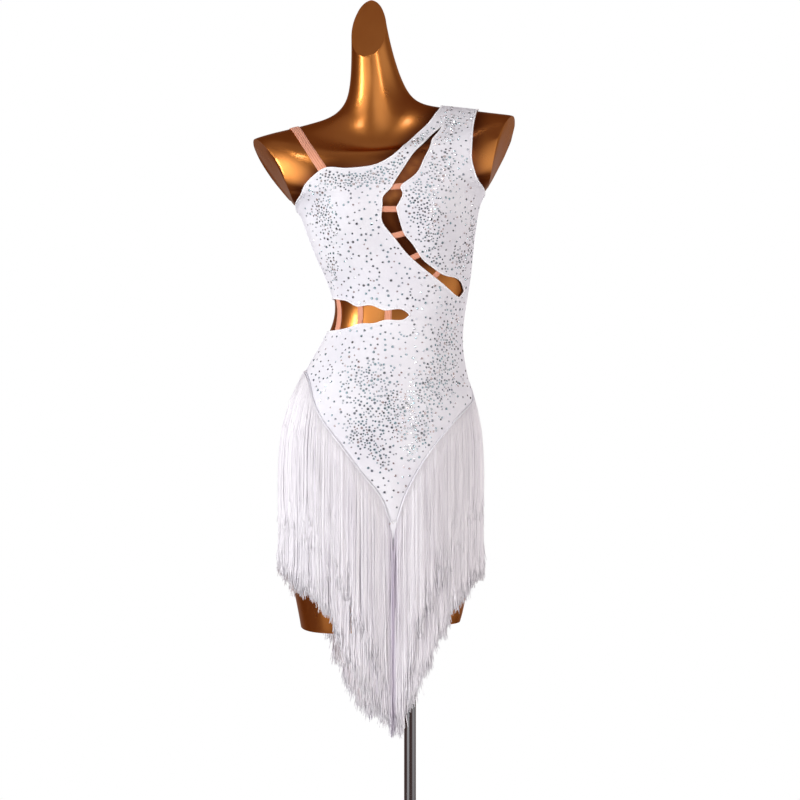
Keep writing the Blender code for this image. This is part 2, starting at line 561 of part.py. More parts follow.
def wall(name, body, form_tree, outline, holes, material_name, mesh_step=CLOTH_MESH):
    """A cloth wall cut to an outline on the unrolled sheet, then wrapped on the body."""
    loops = [drawn_in(tidy_outline(to_flat(outline)), SEAM_INSET)]
    loops += [drawn_in(tidy_outline(to_flat(hole)), -SEAM_INSET) for hole in holes]
    corners = np.concatenate(loops)
    edges = []
    start = 0
    for loop in loops:
        size = len(loop)
        edges += [(start + i, start + (i + 1) % size) for i in range(size)]
        start += size
    low, high = corners.min(axis=0), corners.max(axis=0)
    grid = []
    for j, y in enumerate(np.arange(low[1], high[1], mesh_step * 0.87)):
        for x in np.arange(low[0] + (j % 2) * mesh_step / 2, high[0], mesh_step):
            spot = np.array([x, y])
            near = np.linalg.norm(corners - spot, axis=1).min()
            cut = any(inside(loop, spot) for loop in loops[1:])
            if near > 0.62 * mesh_step and inside(loops[0], spot) and not cut:
                grid.append(spot)
    flat = np.concatenate([corners, np.array(grid)])
    made = delaunay_2d_cdt([Vector(p) for p in flat], edges, [], 0, 1e-7)
    flat = np.array([tuple(p) for p in made[0]])
    faces = []
    for face in made[2]:
        middle = flat[list(face)].mean(axis=0)
        if inside(loops[0], middle) and not any(inside(loop, middle) for loop in loops[1:]):
            faces.append(tuple(face))
    return wrap(name, body, form_tree, flat, faces, material_name)


def clearance(form_tree, place):
    """Signed distance from the form to a point outside it."""
    hit, normal, _, distance = form_tree.find_nearest(Vector(place))
    return distance if (Vector(place) - hit).dot(normal) > 0 else -distance


def settle(form_tree, places, outs, faces):
    """Lift the cloth's points until they, its edges and its faces clear the form."""
    for _ in range(CLEAR_ROUNDS):
        lift = np.zeros(len(places))
        for index, place in enumerate(places):
            lift[index] = max(0.0, CLOTH_OFF - clearance(form_tree, place))
        for face in faces:
            corners = list(face)
            pairs = [corners[:2], corners[1:], corners[::2], corners]
            for group in pairs:
                need = CLOTH_LEAST - clearance(form_tree, places[group].mean(axis=0))
                lift[group] = np.maximum(lift[group], need)
        places = places + outs * lift[:, None]
    return places


def wrap(name, body, form_tree, flat, faces, material_name):
    """Inner and outer skins on the body's surface, joined round every free edge."""
    place = from_flat(flat)
    out = body.normals(place[:, 0], place[:, 1])
    base = body.points(place[:, 0], place[:, 1]) + out * CLOTH_OFF
    base = settle(form_tree, base, out, faces)
    solid = bmesh.new()
    inner = add_ring(solid, base)
    outer = add_ring(solid, base + out * CLOTH_WALL)
    for a, b, c in faces:
        solid.faces.new((outer[a], outer[b], outer[c]))
        solid.faces.new((inner[c], inner[b], inner[a]))
    sides = {pair for face in faces for pair in zip(face, face[1:] + face[:1])}
    for a, b in sides:
        if (b, a) not in sides:
            solid.faces.new((outer[b], outer[a], inner[a], inner[b]))
    loose = [v for v in solid.verts if not v.link_faces]
    bmesh.ops.delete(solid, geom=loose, context="VERTS")
    return add_object(name, solid, material_name)


def mirrored(line, sign):
    """An outline carried to the back over the side seam: sign -1 is the left side."""
    line = np.asarray(line, float)
    return np.stack([sign * 180 - line[:, 0], line[:, 1]], axis=1)


def build_lines(body):
    """All cut edges as arrays of turn and row, at an even spacing."""
    def front(line, *ends):
        return traced(line, -1, *ends)

    def traced(line, side, before=None, after=None):
        parts = [np.array([end]) for end in (before,) if end is not None]
        parts.append(body.trace(line, side))
        parts += [np.array([end]) for end in (after,) if end is not None]
        return from_flat(smooth_line(to_flat(np.concatenate(parts)), EDGE_STEP))

    left = {key: (-90.0, body.on_side(z, -90)) for key, z in SIDE_LEFT.items()}
    right = {key: (90.0, body.on_side(SIDE_RIGHT[key], 90))
             for key in ("underarm", "seam", "band")}
    for key in ("shoulder_in", "shoulder_out"):
        x, z = SIDE_RIGHT[key]
        rows = np.arange(0.05, 0.6, 0.001)
        ridge = body.points(np.full(len(rows), 90.0), rows)
        right[key] = (90.0, rows[np.argmin(np.hypot(ridge[:, 0] - x, ridge[:, 2] - z))])
    lines = {"left": left, "right": right}
    lines["neck"] = front(NECKLINE, right["shoulder_in"])
    lines["left_arm"] = front(LEFT_ARM, None, left["underarm"])
    lines["right_arm"] = front(RIGHT_ARM, right["underarm"], right["shoulder_out"])
    lines["keyhole"] = np.concatenate([front(KEYHOLE_LEFT)[:-1], front(KEYHOLE_RIGHT)[:-1]])
    lines["waist_top"] = front(WAIST_TOP, left["waist_top"])
    lines["waist_bottom"] = front(WAIST_BOTTOM, None, left["waist_bottom"])
    lines["seam_left"] = front(SEAM_LEFT, left["seam"])
    lines["seam_right"] = front(SEAM_RIGHT, right["seam"])
    lines["band_left"] = front(BAND_EDGE, left["band"])
    lines["band_right"] = lines["band_left"] * (-1, 1)
    behind = {key: (270.0, place[1]) for key, place in left.items()}
    lines["back_neck"] = traced(BACK_NECKLINE, 1, None, right["shoulder_in"])
    lines["back_left_arm"] = traced(BACK_LEFT_ARM, 1, behind["underarm"])
    lines["back_right_arm"] = traced(BACK_RIGHT_ARM, 1, right["shoulder_out"], right["underarm"])
    lines["back_waist"] = traced(BACK_WAIST_CUT, 1, behind["waist_top"], behind["waist_bottom"])
    lines["behind"] = behind
    return lines


def side_run(first, second):
    """Evenly spaced points down a side seam, ends left out."""
    return from_flat(smooth_line(to_flat([first, second]), EDGE_STEP))[1:-1]


def build_panels(body, form_tree, lines):
    """Front and back of the dress."""
    left, right = lines["left"], lines["right"]
    outline = np.concatenate([
        lines["neck"], lines["left_arm"], side_run(left["underarm"], left["waist_top"]),
        lines["waist_top"], lines["waist_bottom"][1:],
        side_run(left["waist_bottom"], left["seam"]), lines["seam_left"],
        lines["seam_right"][::-1], side_run(right["seam"], right["underarm"]),
        lines["right_arm"], side_run(right["shoulder_out"], right["shoulder_in"])])
    wall("front_panel", body, form_tree, outline, [lines["keyhole"]], "white_stretch")

    behind = lines["behind"]
    seam_left = mirrored(lines["seam_left"], -1) + (360, 0)
    seam_right = mirrored(lines["seam_right"], 1)
    outline = np.concatenate([
        lines["back_left_arm"], lines["back_neck"],
        side_run(right["shoulder_in"], right["shoulder_out"]), lines["back_right_arm"],
        side_run(right["underarm"], right["seam"]), seam_right, seam_left[::-1],
        side_run(behind["seam"], behind["waist_bottom"]), lines["back_waist"][::-1],
        side_run(behind["waist_top"], behind["underarm"])])
    wall("back_panel", body, form_tree, outline, [], "white_stretch")


def round_the_side(lines, key, side):
    """A line from the front tip, over the side, to the back tip."""
    front = lines[f"{key}_{side}"]
    back = mirrored(front, -1 if side == "left" else 1)
    return np.concatenate([front[::-1], back[1:]])


def build_bands(body, form_tree, lines):
    """The hip bands between the V seams and the leg openings."""
    for side in ("left", "right"):
        seam = round_the_side(lines, "seam", side)
        edge = round_the_side(lines, "band", side)
        wall(f"hip_band_{side}", body, form_tree, np.concatenate([seam, edge[::-1]]), [],
             "white_stretch")


# ---------------------------------------------------------------- elastics
def strip(name, form_tree, centre, width, off, thick, material_name, columns=2):
    """A strip laid along centre points on the form, each given with an outward direction."""
    places = np.array([p for p, _ in centre])
    outs = np.array([n for _, n in centre])
    along = np.gradient(places, axis=0)
    across = np.cross(along, outs)
    across /= np.linalg.norm(across, axis=1)[:, None]
    shifts = np.linspace(-width / 2, width / 2, columns)
    solid = bmesh.new()
    rings = []
    offs = np.broadcast_to(off, len(places))
    for place, out, side, off_here in zip(places, outs, across, offs):
        under = []
        for shift in shifts:
            start = Vector(place + side * shift + out * STRIP_CAST)
            hit, _, _, _ = form_tree.ray_cast(start, -Vector(out), 2 * STRIP_CAST)
            under.append(np.array(hit))
        ring = [spot + out * off_here for spot in under]
        ring += [spot + out * (off_here + thick) for spot in under[::-1]]
        rings.append(add_ring(solid, ring))
    for first, second in zip(rings, rings[1:]):
        join_rings(solid, first, second)
    solid.faces.new(rings[0])
    solid.faces.new(rings[-1])
    return add_object(name, solid, material_name, smooth=False)


def seen_point(body, x, z, side):
    """Surface point and outward direction seen at x, z from the front or the back."""
    turn, row = body.find(x, z, side)
    return body.points([turn], [row])[0], body.normals([turn], [row])[0]


def build_elastics(body, form_tree):
    """The shoulder strap and the short elastics across the cut-outs."""
    ends = [seen_point(body, x, z, side if side else -1) for (x, z), side in SHOULDER_ELASTIC]
    joined = smooth_line([np.concatenate(pair) for pair in ends], STRAP_STEP)
    centre = [(row[:3], row[3:] / np.linalg.norm(row[3:])) for row in joined]
    arch = np.sin(np.linspace(0, math.pi, len(centre)))
    off = ELASTIC_OFF + SHOULDER_ELASTIC_RISE * arch
    strip("shoulder_elastic", form_tree, centre, SHOULDER_ELASTIC_WIDTH, off,
          ELASTIC_WALL, "peach_elastic", columns=3)
    for name, (x1, z1, x2, z2, width) in ELASTICS.items():
        count = max(3, round(math.hypot(x2 - x1, z2 - z1) / ELASTIC_STEP)) + 1
        ends = np.array([body.find(x1, z1, -1), body.find(x2, z2, -1)])
        share = np.linspace(0, 1, count)[:, None]
        turn, row = (ends[0] * (1 - share) + ends[1] * share).T
        centre = list(zip(body.points(turn, row), body.normals(turn, row)))
        strip(name, form_tree, centre, width, ELASTIC_OFF, ELASTIC_WALL, "peach_elastic")


def build_gusset(form_tree, crotch, lines, body):
    """The narrow piece that passes between the thighs and joins the front tip to the back tip."""
    tip_row = lines["seam_left"][-1][1]
    front_turn = (lines["seam_left"][-1][0] + lines["seam_right"][-1][0]) / 2
    drop = np.linspace(tip_row + 0.001, body.length - 0.004, 4)
    down = [np.concatenate([body.points([front_turn], [r])[0], body.normals([front_turn], [r])[0]])
            for r in drop]
    up = [np.concatenate([body.points([180 - front_turn], [r])[0],
                          body.normals([180 - front_turn], [r])[0]]) for r in drop[::-1]]
    under = []
    for i, place in enumerate(crotch[1:-1], start=1):
        swing = math.pi * i / (CROTCH_POINTS + 1)
        lean = math.radians(THIGH_TURN)
        level = -math.cos(swing)
        out = (-level * math.sin(lean), level * math.cos(lean), -math.sin(swing))
        under.append(np.concatenate([place, out]))
    joined = smooth_line(down + under + up, GUSSET_STEP)
    centre = [(row[:3], row[3:] / np.linalg.norm(row[3:])) for row in joined]
    strip("crotch_gusset", form_tree, centre, GUSSET_WIDTH, GUSSET_OFF, CLOTH_WALL,
          "white_stretch", columns=3)


# ---------------------------------------------------------------- fringe
def hem_height(table, x):
    """Height of the fringe end at x."""
    rows = sorted(table)
    return float(np.interp(x, [r[0] for r in rows], [r[1] for r in rows]))


def tape_stations(body, line):
    """Places along a tape where locks and gaps begin, evenly spread on the level round the body."""
    fine = from_flat(smooth_line(to_flat(line), 0.002))
    points = body.points(fine[:, 0], fine[:, 1])
    level = np.linalg.norm(np.diff(points[:, :2], axis=0), axis=1)
    run = np.concatenate(([0.0], np.cumsum(level)))
    pitch = (run[-1] + LOCK_GAP) / LOCKS
    marks = []
    for i in range(LOCKS):
        marks += [i * pitch, i * pitch + pitch - LOCK_GAP]
    return np.stack([np.interp(marks, run, fine[:, k]) for k in (0, 1)], axis=1)


def reach_at(tree, place, out, z):
    """How far the body reaches along `out` from `place` at height z, or None below the body."""
    start = Vector((place[0], place[1], z)) + Vector(out) * REACH_CAST
    hit, _, _, distance = tree.ray_cast(start, -Vector(out), 1.25 * REACH_CAST)
    return None if hit is None else REACH_CAST - distance


def fall_path(tree, place, out, fall, root_z, tip_z):
    """Heights and reaches of a lock's inner side: over the hips, then straight down."""
    first = [root_z - FIRST_FALL] if fall > TAPE_OFF else []
    levels = [z for z in FALL_LEVELS
              if tip_z + FALL_ROOM < z < root_z - FIRST_FALL - FALL_ROOM]
    widest = fall - TAPE_OFF
    path = []
    for z in first + levels:
        body_reach = reach_at(tree, place, out, z)
        if body_reach is not None:
            widest = max(widest, body_reach + fall)
        path.append((z, widest))
    path.append((tip_z, widest))
    return path


def build_fringe(body, lines, name, key, side, hem, fall):
    """One tape with its locks pulled out of the tape's lower edge."""
    line = round_the_side(lines, key, side)
    stations = tape_stations(body, line)
    points = body.points(stations[:, 0], stations[:, 1])
    outs = body.normals(stations[:, 0], stations[:, 1])
    slope = np.abs(np.gradient(points[:, 2]))
    level = np.linalg.norm(np.gradient(points[:, :2], axis=0), axis=1)
    drops = np.minimum(TAPE_WIDTH * np.hypot(1, slope / level), TAPE_DROP_MOST)
    solid = bmesh.new()
    sections = []
    rings = []
    for (turn, row), point, drop in zip(stations, points, drops):
        top = SEAM_TAPE_SET if key == "seam" else -drop * EDGE_TAPE_LAP
        rows = np.clip([row + top, row + top + drop], 0, body.length)
        base = body.points([turn, turn], rows)
        out = body.normals([turn, turn], rows)
        ring = [base[0] + out[0] * TAPE_OFF, base[0] + out[0] * (TAPE_OFF + TAPE_WALL),
                base[1] + out[1] * (TAPE_OFF + TAPE_WALL), base[1] + out[1] * TAPE_OFF]
        sections.append(ring)
        rings.append(add_ring(solid, ring))
    for index, (first, second) in enumerate(zip(rings, rings[1:])):
        for i, j in ((0, 1), (1, 2), (3, 0)):
            solid.faces.new((first[i], first[j], second[j], second[i]))
        if index % 2:
            solid.faces.new((first[2], first[3], second[3], second[2]))
            continue
        number = index // 2
        fast, slow = RAGGED_WAVES
        ragged = RAGGED * math.sin(number * fast) * math.cos(number * slow + len(name))
        corners = [(second[3], sections[index + 1][3], outs[index + 1]),
                   (second[2], sections[index + 1][3], outs[index + 1]),
                   (first[2], sections[index][3], outs[index]),
                   (first[3], sections[index][3], outs[index])]
        x, y, _ = points[index]
        behind = min(max((y - THIGH_CENTRE[1]) / BACK_HEM_DEPTH, 0), 1)
        x += max(y - THIGH_CENTRE[1], 0) * math.sin(math.radians(2 * THIGH_TURN))
        tip_z = hem_height(hem, x) + ragged - BACK_HEM_FALL * behind
        paths = []
        for k, (_, place, out) in enumerate(corners):
            flat_out = np.array([out[0], out[1], 0.0])
            flat_out /= np.linalg.norm(flat_out)
            root_z = min(sections[index][3][2], sections[index + 1][3][2])
            path = fall_path(body.tree, place, flat_out, fall, root_z, tip_z)
            thick = LOCK_THICK if k in (1, 2) else 0.0
            paths.append([(np.array([place[0], place[1], z]) + flat_out * (reach + thick))
                          for z, reach in path])
        ring = [c[0] for c in corners]
        steps = len(paths[0])
        for step in range(steps):
            spots = [paths[k][step] for k in range(4)]
            if step == steps - 1:
                middle = sum(spots) / 4
                spots = [middle + (s - middle) * LOCK_TIP for s in spots]
            lower = add_ring(solid, spots)
            join_rings(solid, ring, lower)
            ring = lower
        solid.faces.new(ring)
    solid.faces.new(rings[0])
    solid.faces.new(rings[-1])
    return add_object(name, solid, "white_fringe", smooth=False)


def main():
    for made in list(bpy.data.objects):
        bpy.data.objects.remove(made, do_unlink=True)
    body = Body()
    form, crotch = build_form(body)
    build_stand()
    lines = build_lines(body)
    form_tree = BVHTree.FromPolygons([v.co.copy() for v in form.data.vertices],
                                     [tuple(p.vertices) for p in form.data.polygons])
    build_panels(body, form_tree, lines)
    build_bands(body, form_tree, lines)
    build_elastics(body, form_tree)
    build_gusset(form_tree, crotch, lines, body)
    build_fringe(body, lines, "fringe_upper_left", "seam", "left", UPPER_HEM_LEFT, UPPER_FALL)
    build_fringe(body, lines, "fringe_upper_right", "seam", "right", UPPER_HEM_RIGHT, UPPER_FALL)
    build_fringe(body, lines, "fringe_lower_left", "band", "left", LOWER_HEM_LEFT, LOWER_FALL)
    build_fringe(body, lines, "fringe_lower_right", "band", "right", LOWER_HEM_RIGHT, LOWER_FALL)


main()
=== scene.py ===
"""Looks of a one-shoulder latin dance dress that stands on a limbless display form.

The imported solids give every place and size.  Each class builds one sub-assembly: the gilded form,
the stretch cloth with its bound edges and seams, the ribbed elastics, the tiers of fringe, the
crystals, the chrome stand and the studio.  Left and right are as seen from the front.
"""

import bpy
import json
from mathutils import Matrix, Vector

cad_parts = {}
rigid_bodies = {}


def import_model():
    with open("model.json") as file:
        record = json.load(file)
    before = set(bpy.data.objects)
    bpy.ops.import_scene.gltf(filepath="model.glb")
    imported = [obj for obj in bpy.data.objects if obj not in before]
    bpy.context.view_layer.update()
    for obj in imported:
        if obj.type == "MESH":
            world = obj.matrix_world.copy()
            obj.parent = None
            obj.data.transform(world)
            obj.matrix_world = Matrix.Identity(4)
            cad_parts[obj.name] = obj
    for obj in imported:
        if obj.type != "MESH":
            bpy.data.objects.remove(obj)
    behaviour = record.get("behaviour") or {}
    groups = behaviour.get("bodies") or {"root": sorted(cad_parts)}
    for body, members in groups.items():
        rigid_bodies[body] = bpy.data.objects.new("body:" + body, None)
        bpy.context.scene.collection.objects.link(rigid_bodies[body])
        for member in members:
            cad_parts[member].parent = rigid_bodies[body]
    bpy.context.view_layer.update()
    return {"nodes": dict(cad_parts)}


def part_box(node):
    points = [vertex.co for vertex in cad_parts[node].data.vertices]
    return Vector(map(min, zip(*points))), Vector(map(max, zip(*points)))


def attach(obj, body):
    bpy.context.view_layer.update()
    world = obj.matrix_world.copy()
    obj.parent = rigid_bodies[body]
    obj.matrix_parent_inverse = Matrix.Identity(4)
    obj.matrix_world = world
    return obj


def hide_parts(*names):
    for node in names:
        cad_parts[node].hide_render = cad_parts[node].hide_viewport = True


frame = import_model()

import json
import logging
import math
from dataclasses import dataclass, field
from enum import Enum
from itertools import product

import bmesh
import bpy
import numpy as np
from bmesh.types import BMesh, BMVert
from bpy.types import Material, Mesh, NodeSocket, Object, World
from mathutils import Matrix, Vector
from mathutils.bvhtree import BVHTree
from mathutils.kdtree import KDTree
from numpy import ndarray

LOG = logging.getLogger("dance_dress")
BODY = "root"
MERGE = 1e-5            # corners closer than this are one
CAST = 0.6              # rays towards the form start this far away
ROUND = 2 * math.pi
BOUND_STEP = 0.003      # spacing of points along a bound edge
SEAM_STEP = 0.004       # and along a seam or a tape


class Side(Enum):
    """The two faces of the dress; the value is the sign of Y."""

    FRONT = -1
    BACK = 1


class Slot(Enum):
    """Material slots of the record."""

    GOLD = "gold_form"
    CHROME = "chrome"
    CLOTH = "white_stretch"
    ELASTIC = "peach_elastic"
    FRINGE = "white_fringe"


# ---------------------------------------------------------------- finishes
class Nodes:
    """The node tree of a material or a world, and short ways to add to it."""

    def __init__(self, owner: Material | World) -> None:
        """Open the owner's node tree."""
        owner.use_nodes = True
        self.owner, self.tree = owner, owner.node_tree

    def put(self, socket: NodeSocket, value: object) -> None:
        """Link an output to a socket, or set the socket's own value.

        Args:
            socket: the socket.
            value: an output, a colour of three shares or a plain value.
        """
        if isinstance(value, NodeSocket):
            self.tree.links.new(value, socket)
        else:
            socket.default_value = (*value, 1.0) if socket.type == "RGBA" else value

    def add(self, kind: str, inputs: dict, out: int | str = 0, **settings: object) -> NodeSocket:
        """Add a node.

        Args:
            kind: type name of the node after "ShaderNode".
            inputs: what each socket is given, by its name or number.
            out: which output is wanted.
            **settings: properties of the node.

        Returns:
            The wanted output.
        """
        node = self.tree.nodes.new("ShaderNode" + kind)
        for key, value in settings.items():
            setattr(node, key, value)
        for key, value in inputs.items():
            self.put(node.inputs[key], value)
        return node.outputs[out]

    def value(self, way: str, *values: object) -> NodeSocket:
        """The outcome of a Math operation on its values."""
        return self.add("Math", dict(enumerate(values)), operation=way)

    def place(self, kind: str = "Object") -> NodeSocket:
        """Coordinates of one kind."""
        return self.add("TexCoord", {}, kind)

    def turns(self, axis: str, count: float) -> NodeSocket:
        """An angle that goes round so many times in one unit along an axis of the UV map."""
        along = self.add("SeparateXYZ", {0: self.place("UV")}, axis)
        return self.value("MULTIPLY", along, ROUND * count)

    def noise(self, scale: float, detail: float = 3.0) -> NodeSocket:
        """A cloud pattern from 0 to 1, with about so many clouds in a metre."""
        return self.add("TexNoise", {"Vector": self.place(), "Scale": scale, "Detail": detail})

    def spread(self, value: NodeSocket, low: float = 0.0, high: float = 1.0, start: float = 0.3,
               end: float = 0.7, way: str = "LINEAR") -> NodeSocket:
        """Stretch the part of a pattern from start to end to the range from low to high."""
        return self.add("MapRange", {"Value": value, "From Min": start, "From Max": end,
                                     "To Min": low, "To Max": high}, interpolation_type=way)

    def blend(self, share: object, first: object, second: object) -> NodeSocket:
        """Mix two colours: the first where the share is 0 and the second where it is 1."""
        return self.add("MixRGB", {"Fac": share, "Color1": first, "Color2": second})

    def bump(self, height: NodeSocket, distance: float, strength: float,
             before: NodeSocket | None = None) -> NodeSocket:
        """Relief from a height pattern, its distance in metres, on top of any relief before."""
        inputs = {"Height": height, "Distance": distance, "Strength": strength}
        return self.add("Bump", inputs | ({"Normal": before} if before else {}))


class Recipe(Nodes):
    """A material under construction."""

    def __init__(self, name: str) -> None:
        """Make the material."""
        super().__init__(bpy.data.materials.new(name))

    def done(self, **sockets: object) -> Material:
        """Give the shader its values and links.

        Args:
            **sockets: the shader's socket names, with _ for a space, and what each is given.

        Returns:
            The material.
        """
        for key, value in sockets.items():
            self.put(self.tree.nodes["Principled BSDF"].inputs[key.replace("_", " ")], value)
        return self.owner


@dataclass(frozen=True)
class GoldPlating:
    """Glossy antique gold on a moulded form, with painted shadow where a point attribute is high.
    """

    name: str = "gold_plating"
    colour: tuple = (0.66, 0.27, 0.068)
    deep: tuple = (0.55, 0.19, 0.040)
    shadow: tuple = (0.13, 0.030, 0.012)
    edge: tuple = (0.75, 0.50, 0.32)
    roughness: tuple = (0.27, 0.31)

    def build(self) -> Material:
        """Make the material.

        Returns:
            The material.
        """
        recipe = Recipe(self.name)
        plain = recipe.blend(recipe.spread(recipe.noise(7.0, 4.0)), self.colour, self.deep)
        # painted shadow: the gold turns towards the shadow colour where the attribute is high
        contact = recipe.add("Attribute", {}, "Fac", attribute_name="contact")
        return recipe.done(
            Metallic=1.0, Coat_Weight=0.18, Coat_Roughness=0.10, Specular_Tint=self.edge,
            Base_Color=recipe.blend(contact, plain, self.shadow),
            Roughness=recipe.spread(recipe.noise(34.0, 2.0), *self.roughness),
            Normal=recipe.bump(recipe.noise(7.0, 1.0), 0.003, 0.12))


@dataclass(frozen=True)
class StretchSatin:
    """White stretch knit with a soft satin face: fine wales, faint clouds and sheen."""

    name: str = "stretch_satin"
    colour: tuple = (0.83, 0.82, 0.86)
    shade: tuple = (0.76, 0.745, 0.80)
    sheen: tuple = (0.95, 0.93, 1.0)
    wale: float = 0.0007

    def build(self) -> Material:
        """Make the material.

        Returns:
            The material.
        """
        recipe = Recipe(self.name)
        wales, rows = (recipe.add("TexWave", {"Vector": recipe.place(), "Scale": 0.314 / self.wale,
                                              "Distortion": 0.6, "Detail": 1.0}, "Fac",
                                  bands_direction=way) for way in "XZ")
        knit = recipe.bump(wales, 0.00006, 0.5, recipe.bump(rows, 0.00004, 0.4))
        clouds = recipe.spread(recipe.noise(16.0, 4.0))
        return recipe.done(
            Sheen_Weight=0.22, Sheen_Roughness=0.4, Sheen_Tint=self.sheen, Specular_IOR_Level=0.42,
            Base_Color=recipe.blend(clouds, self.colour, self.shade),
            Roughness=recipe.spread(recipe.noise(220.0, 2.0), 0.46, 0.60),
            Normal=recipe.bump(recipe.noise(38.0, 2.0), 0.0010, 0.35, knit))


@dataclass(frozen=True)
class RibbedElastic:
    """Peach elastic tape: lengthwise ribs across U with painted shade in their grooves, and fine
    courses along V.
    """

    name: str = "ribbed_elastic"
    colour: tuple = (0.86, 0.40, 0.25)
    painted_groove_shade: tuple = (0.60, 0.20, 0.115)
    ribs: float = 4.0
    course: float = 0.0011

    def build(self) -> Material:
        """Make the material.

        Returns:
            The material.
        """
        recipe = Recipe(self.name)
        ribs = recipe.value("COSINE", recipe.turns("X", self.ribs))
        courses = recipe.value("COSINE", recipe.turns("Y", 1 / self.course))
        # painted shade in the rib grooves, with a little random tone from the noise
        share = recipe.value("ADD", recipe.spread(ribs, 0.75, 0.0, -1.0, 1.0),
                             recipe.spread(recipe.noise(60.0), -0.15, 0.15))
        return recipe.done(
            Roughness=0.58, Sheen_Weight=0.15,
            Base_Color=recipe.blend(share, self.colour, self.painted_groove_shade),
            Normal=recipe.bump(ribs, 0.0002, 0.8, recipe.bump(courses, 0.0001, 0.4)))


@dataclass(frozen=True)
class TwistedRayon:
    """White fringe thread; a point attribute mixes in the lilac shade colour, for each strand's own
    tone and for painted shade and light.
    """

    name: str = "twisted_rayon"
    colour: tuple = (0.97, 0.945, 0.975)
    shade: tuple = (0.50, 0.43, 0.55)
    twist: float = 0.0025

    def build(self) -> Material:
        """Make the material.

        Returns:
            The material.
        """
        recipe = Recipe(self.name)
        # the attribute holds each strand's own tone plus painted shade and painted light
        tint = recipe.add("Attribute", {}, "Fac", attribute_name="tint")
        lay = recipe.value("ADD", recipe.turns("Y", 1 / self.twist), recipe.turns("X", 1.0))
        return recipe.done(
            Roughness=0.42, Sheen_Weight=0.3, Sheen_Roughness=0.35, Specular_IOR_Level=0.5,
            Base_Color=recipe.blend(tint, self.colour, self.shade),
            Normal=recipe.bump(recipe.value("COSINE", lay), 0.00012, 0.5))


@dataclass(frozen=True)
class PolishedChrome:
    """Polished chrome with faint smudges."""

    name: str = "polished_chrome"
    colour: tuple = (0.25, 0.26, 0.285)

    def build(self) -> Material:
        """Make the material.

        Returns:
            The material.
        """
        recipe = Recipe(self.name)
        return recipe.done(Metallic=1.0, Base_Color=self.colour,
                           Roughness=recipe.spread(recipe.noise(28.0, 5.0), 0.07, 0.17),
                           Normal=recipe.bump(recipe.noise(400.0, 2.0), 0.00002, 0.2))


@dataclass(frozen=True)
class CutCrystal:
    """Foil-backed crystals; the attribute "stone" gives each its colour, with painted glints in
    pale specks.
    """

    name: str = "cut_crystal"
    glint: tuple = (0.80, 0.84, 0.88)

    def build(self) -> Material:
        """Make the material.

        Returns:
            The material.
        """
        recipe = Recipe(self.name)
        stone = recipe.add("Attribute", {}, "Color", attribute_name="stone")
        # random pale specks paint glints on the stones
        painted_glint = recipe.spread(recipe.noise(700.0, 1.0), 0.0, 0.5)
        return recipe.done(Metallic=0.85, Coat_Weight=0.3,
                           Base_Color=recipe.blend(painted_glint, stone, self.glint),
                           Roughness=recipe.spread(recipe.noise(300.0, 1.0), 0.10, 0.26))


@dataclass(frozen=True)
class StitchThread:
    """White sewing thread."""

    name: str = "stitch_thread"
    colour: tuple = (0.80, 0.79, 0.83)
    shade: tuple = (0.68, 0.67, 0.72)

    def build(self) -> Material:
        """Make the material.

        Returns:
            The material.
        """
        recipe = Recipe(self.name)
        clouds = recipe.spread(recipe.noise(180.0))
        return recipe.done(Roughness=0.5, Sheen_Weight=0.2,
                           Base_Color=recipe.blend(clouds, self.colour, self.shade))


@dataclass(frozen=True)
class PaleFloor:
    """Matt pale studio floor that fades out round its edge."""

    name: str = "pale_floor"
    colour: tuple = (0.94, 0.94, 0.95)
    shade: tuple = (0.92, 0.92, 0.93)
    fade: tuple = (0.45, 1.25)

    def build(self) -> Material:
        """Make the material.

        Returns:
            The material.
        """
        recipe = Recipe(self.name)
        clouds = recipe.spread(recipe.noise(1.5))
        far = recipe.add("VectorMath", {0: recipe.place()}, "Value", operation="LENGTH")
        return recipe.done(Roughness=0.85, Base_Color=recipe.blend(clouds, self.colour, self.shade),
                           Alpha=recipe.spread(far, 1.0, 0.0, *self.fade))


# ---------------------------------------------------------------- mesh helpers
def unit(rows: ndarray) -> ndarray:
    """Rows scaled to a length of one."""
    return rows / np.linalg.norm(rows, axis=1)[:, None]


def near_tree(points: list | ndarray) -> KDTree:
    """A search tree of points.

    Args:
        points: the points.

    Returns:
        The tree, ready for use.
    """
    tree = KDTree(len(points))
    for index, point in enumerate(points):
        tree.insert(point, index)
    tree.balance()
    return tree


def node_copy(name: str) -> BMesh:
    """A merged copy of a CAD node's mesh.

    Args:
        name: name of the node.

    Returns:
        The copy.
    """
    copied = bmesh.new()
    copied.from_mesh(frame["nodes"][name].data)
    bmesh.ops.remove_doubles(copied, verts=copied.verts, dist=MERGE)
    return copied


def placed(name: str, data: object) -> Object:
    """Put a new object with this data in the scene.

    Args:
        name: its name.
        data: its mesh, curve, light or camera.

    Returns:
        The object.
    """
    made = bpy.data.objects.new(name, data)
    bpy.context.scene.collection.objects.link(made)
    return made


def finished(name: str, mesh: Mesh, finish: Material,
             node: str = "") -> Object:
    """Make a finished piece that rides on the body.

    Args:
        name: name of the piece.
        mesh: its mesh, in place.
        finish: its material.
        node: CAD node that it stands for.

    Returns:
        The object.
    """
    mesh.name = name
    mesh.materials.clear()
    mesh.materials.append(finish)
    made = placed(name, mesh)
    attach(made, BODY)
    if node:
        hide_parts(node)
    LOG.info("%s: %d faces", name, len(mesh.polygons))
    return made


def to_mesh(shape: BMesh, smooth: bool = True) -> Mesh:
    """Turn a bmesh into a mesh and free it.

    Args:
        shape: the bmesh.
        smooth: whether its faces are shaded smooth.

    Returns:
        The mesh.
    """
    for face in shape.faces:
        face.smooth = smooth
    mesh = bpy.data.meshes.new("mesh")
    shape.to_mesh(mesh)
    shape.free()
    return mesh


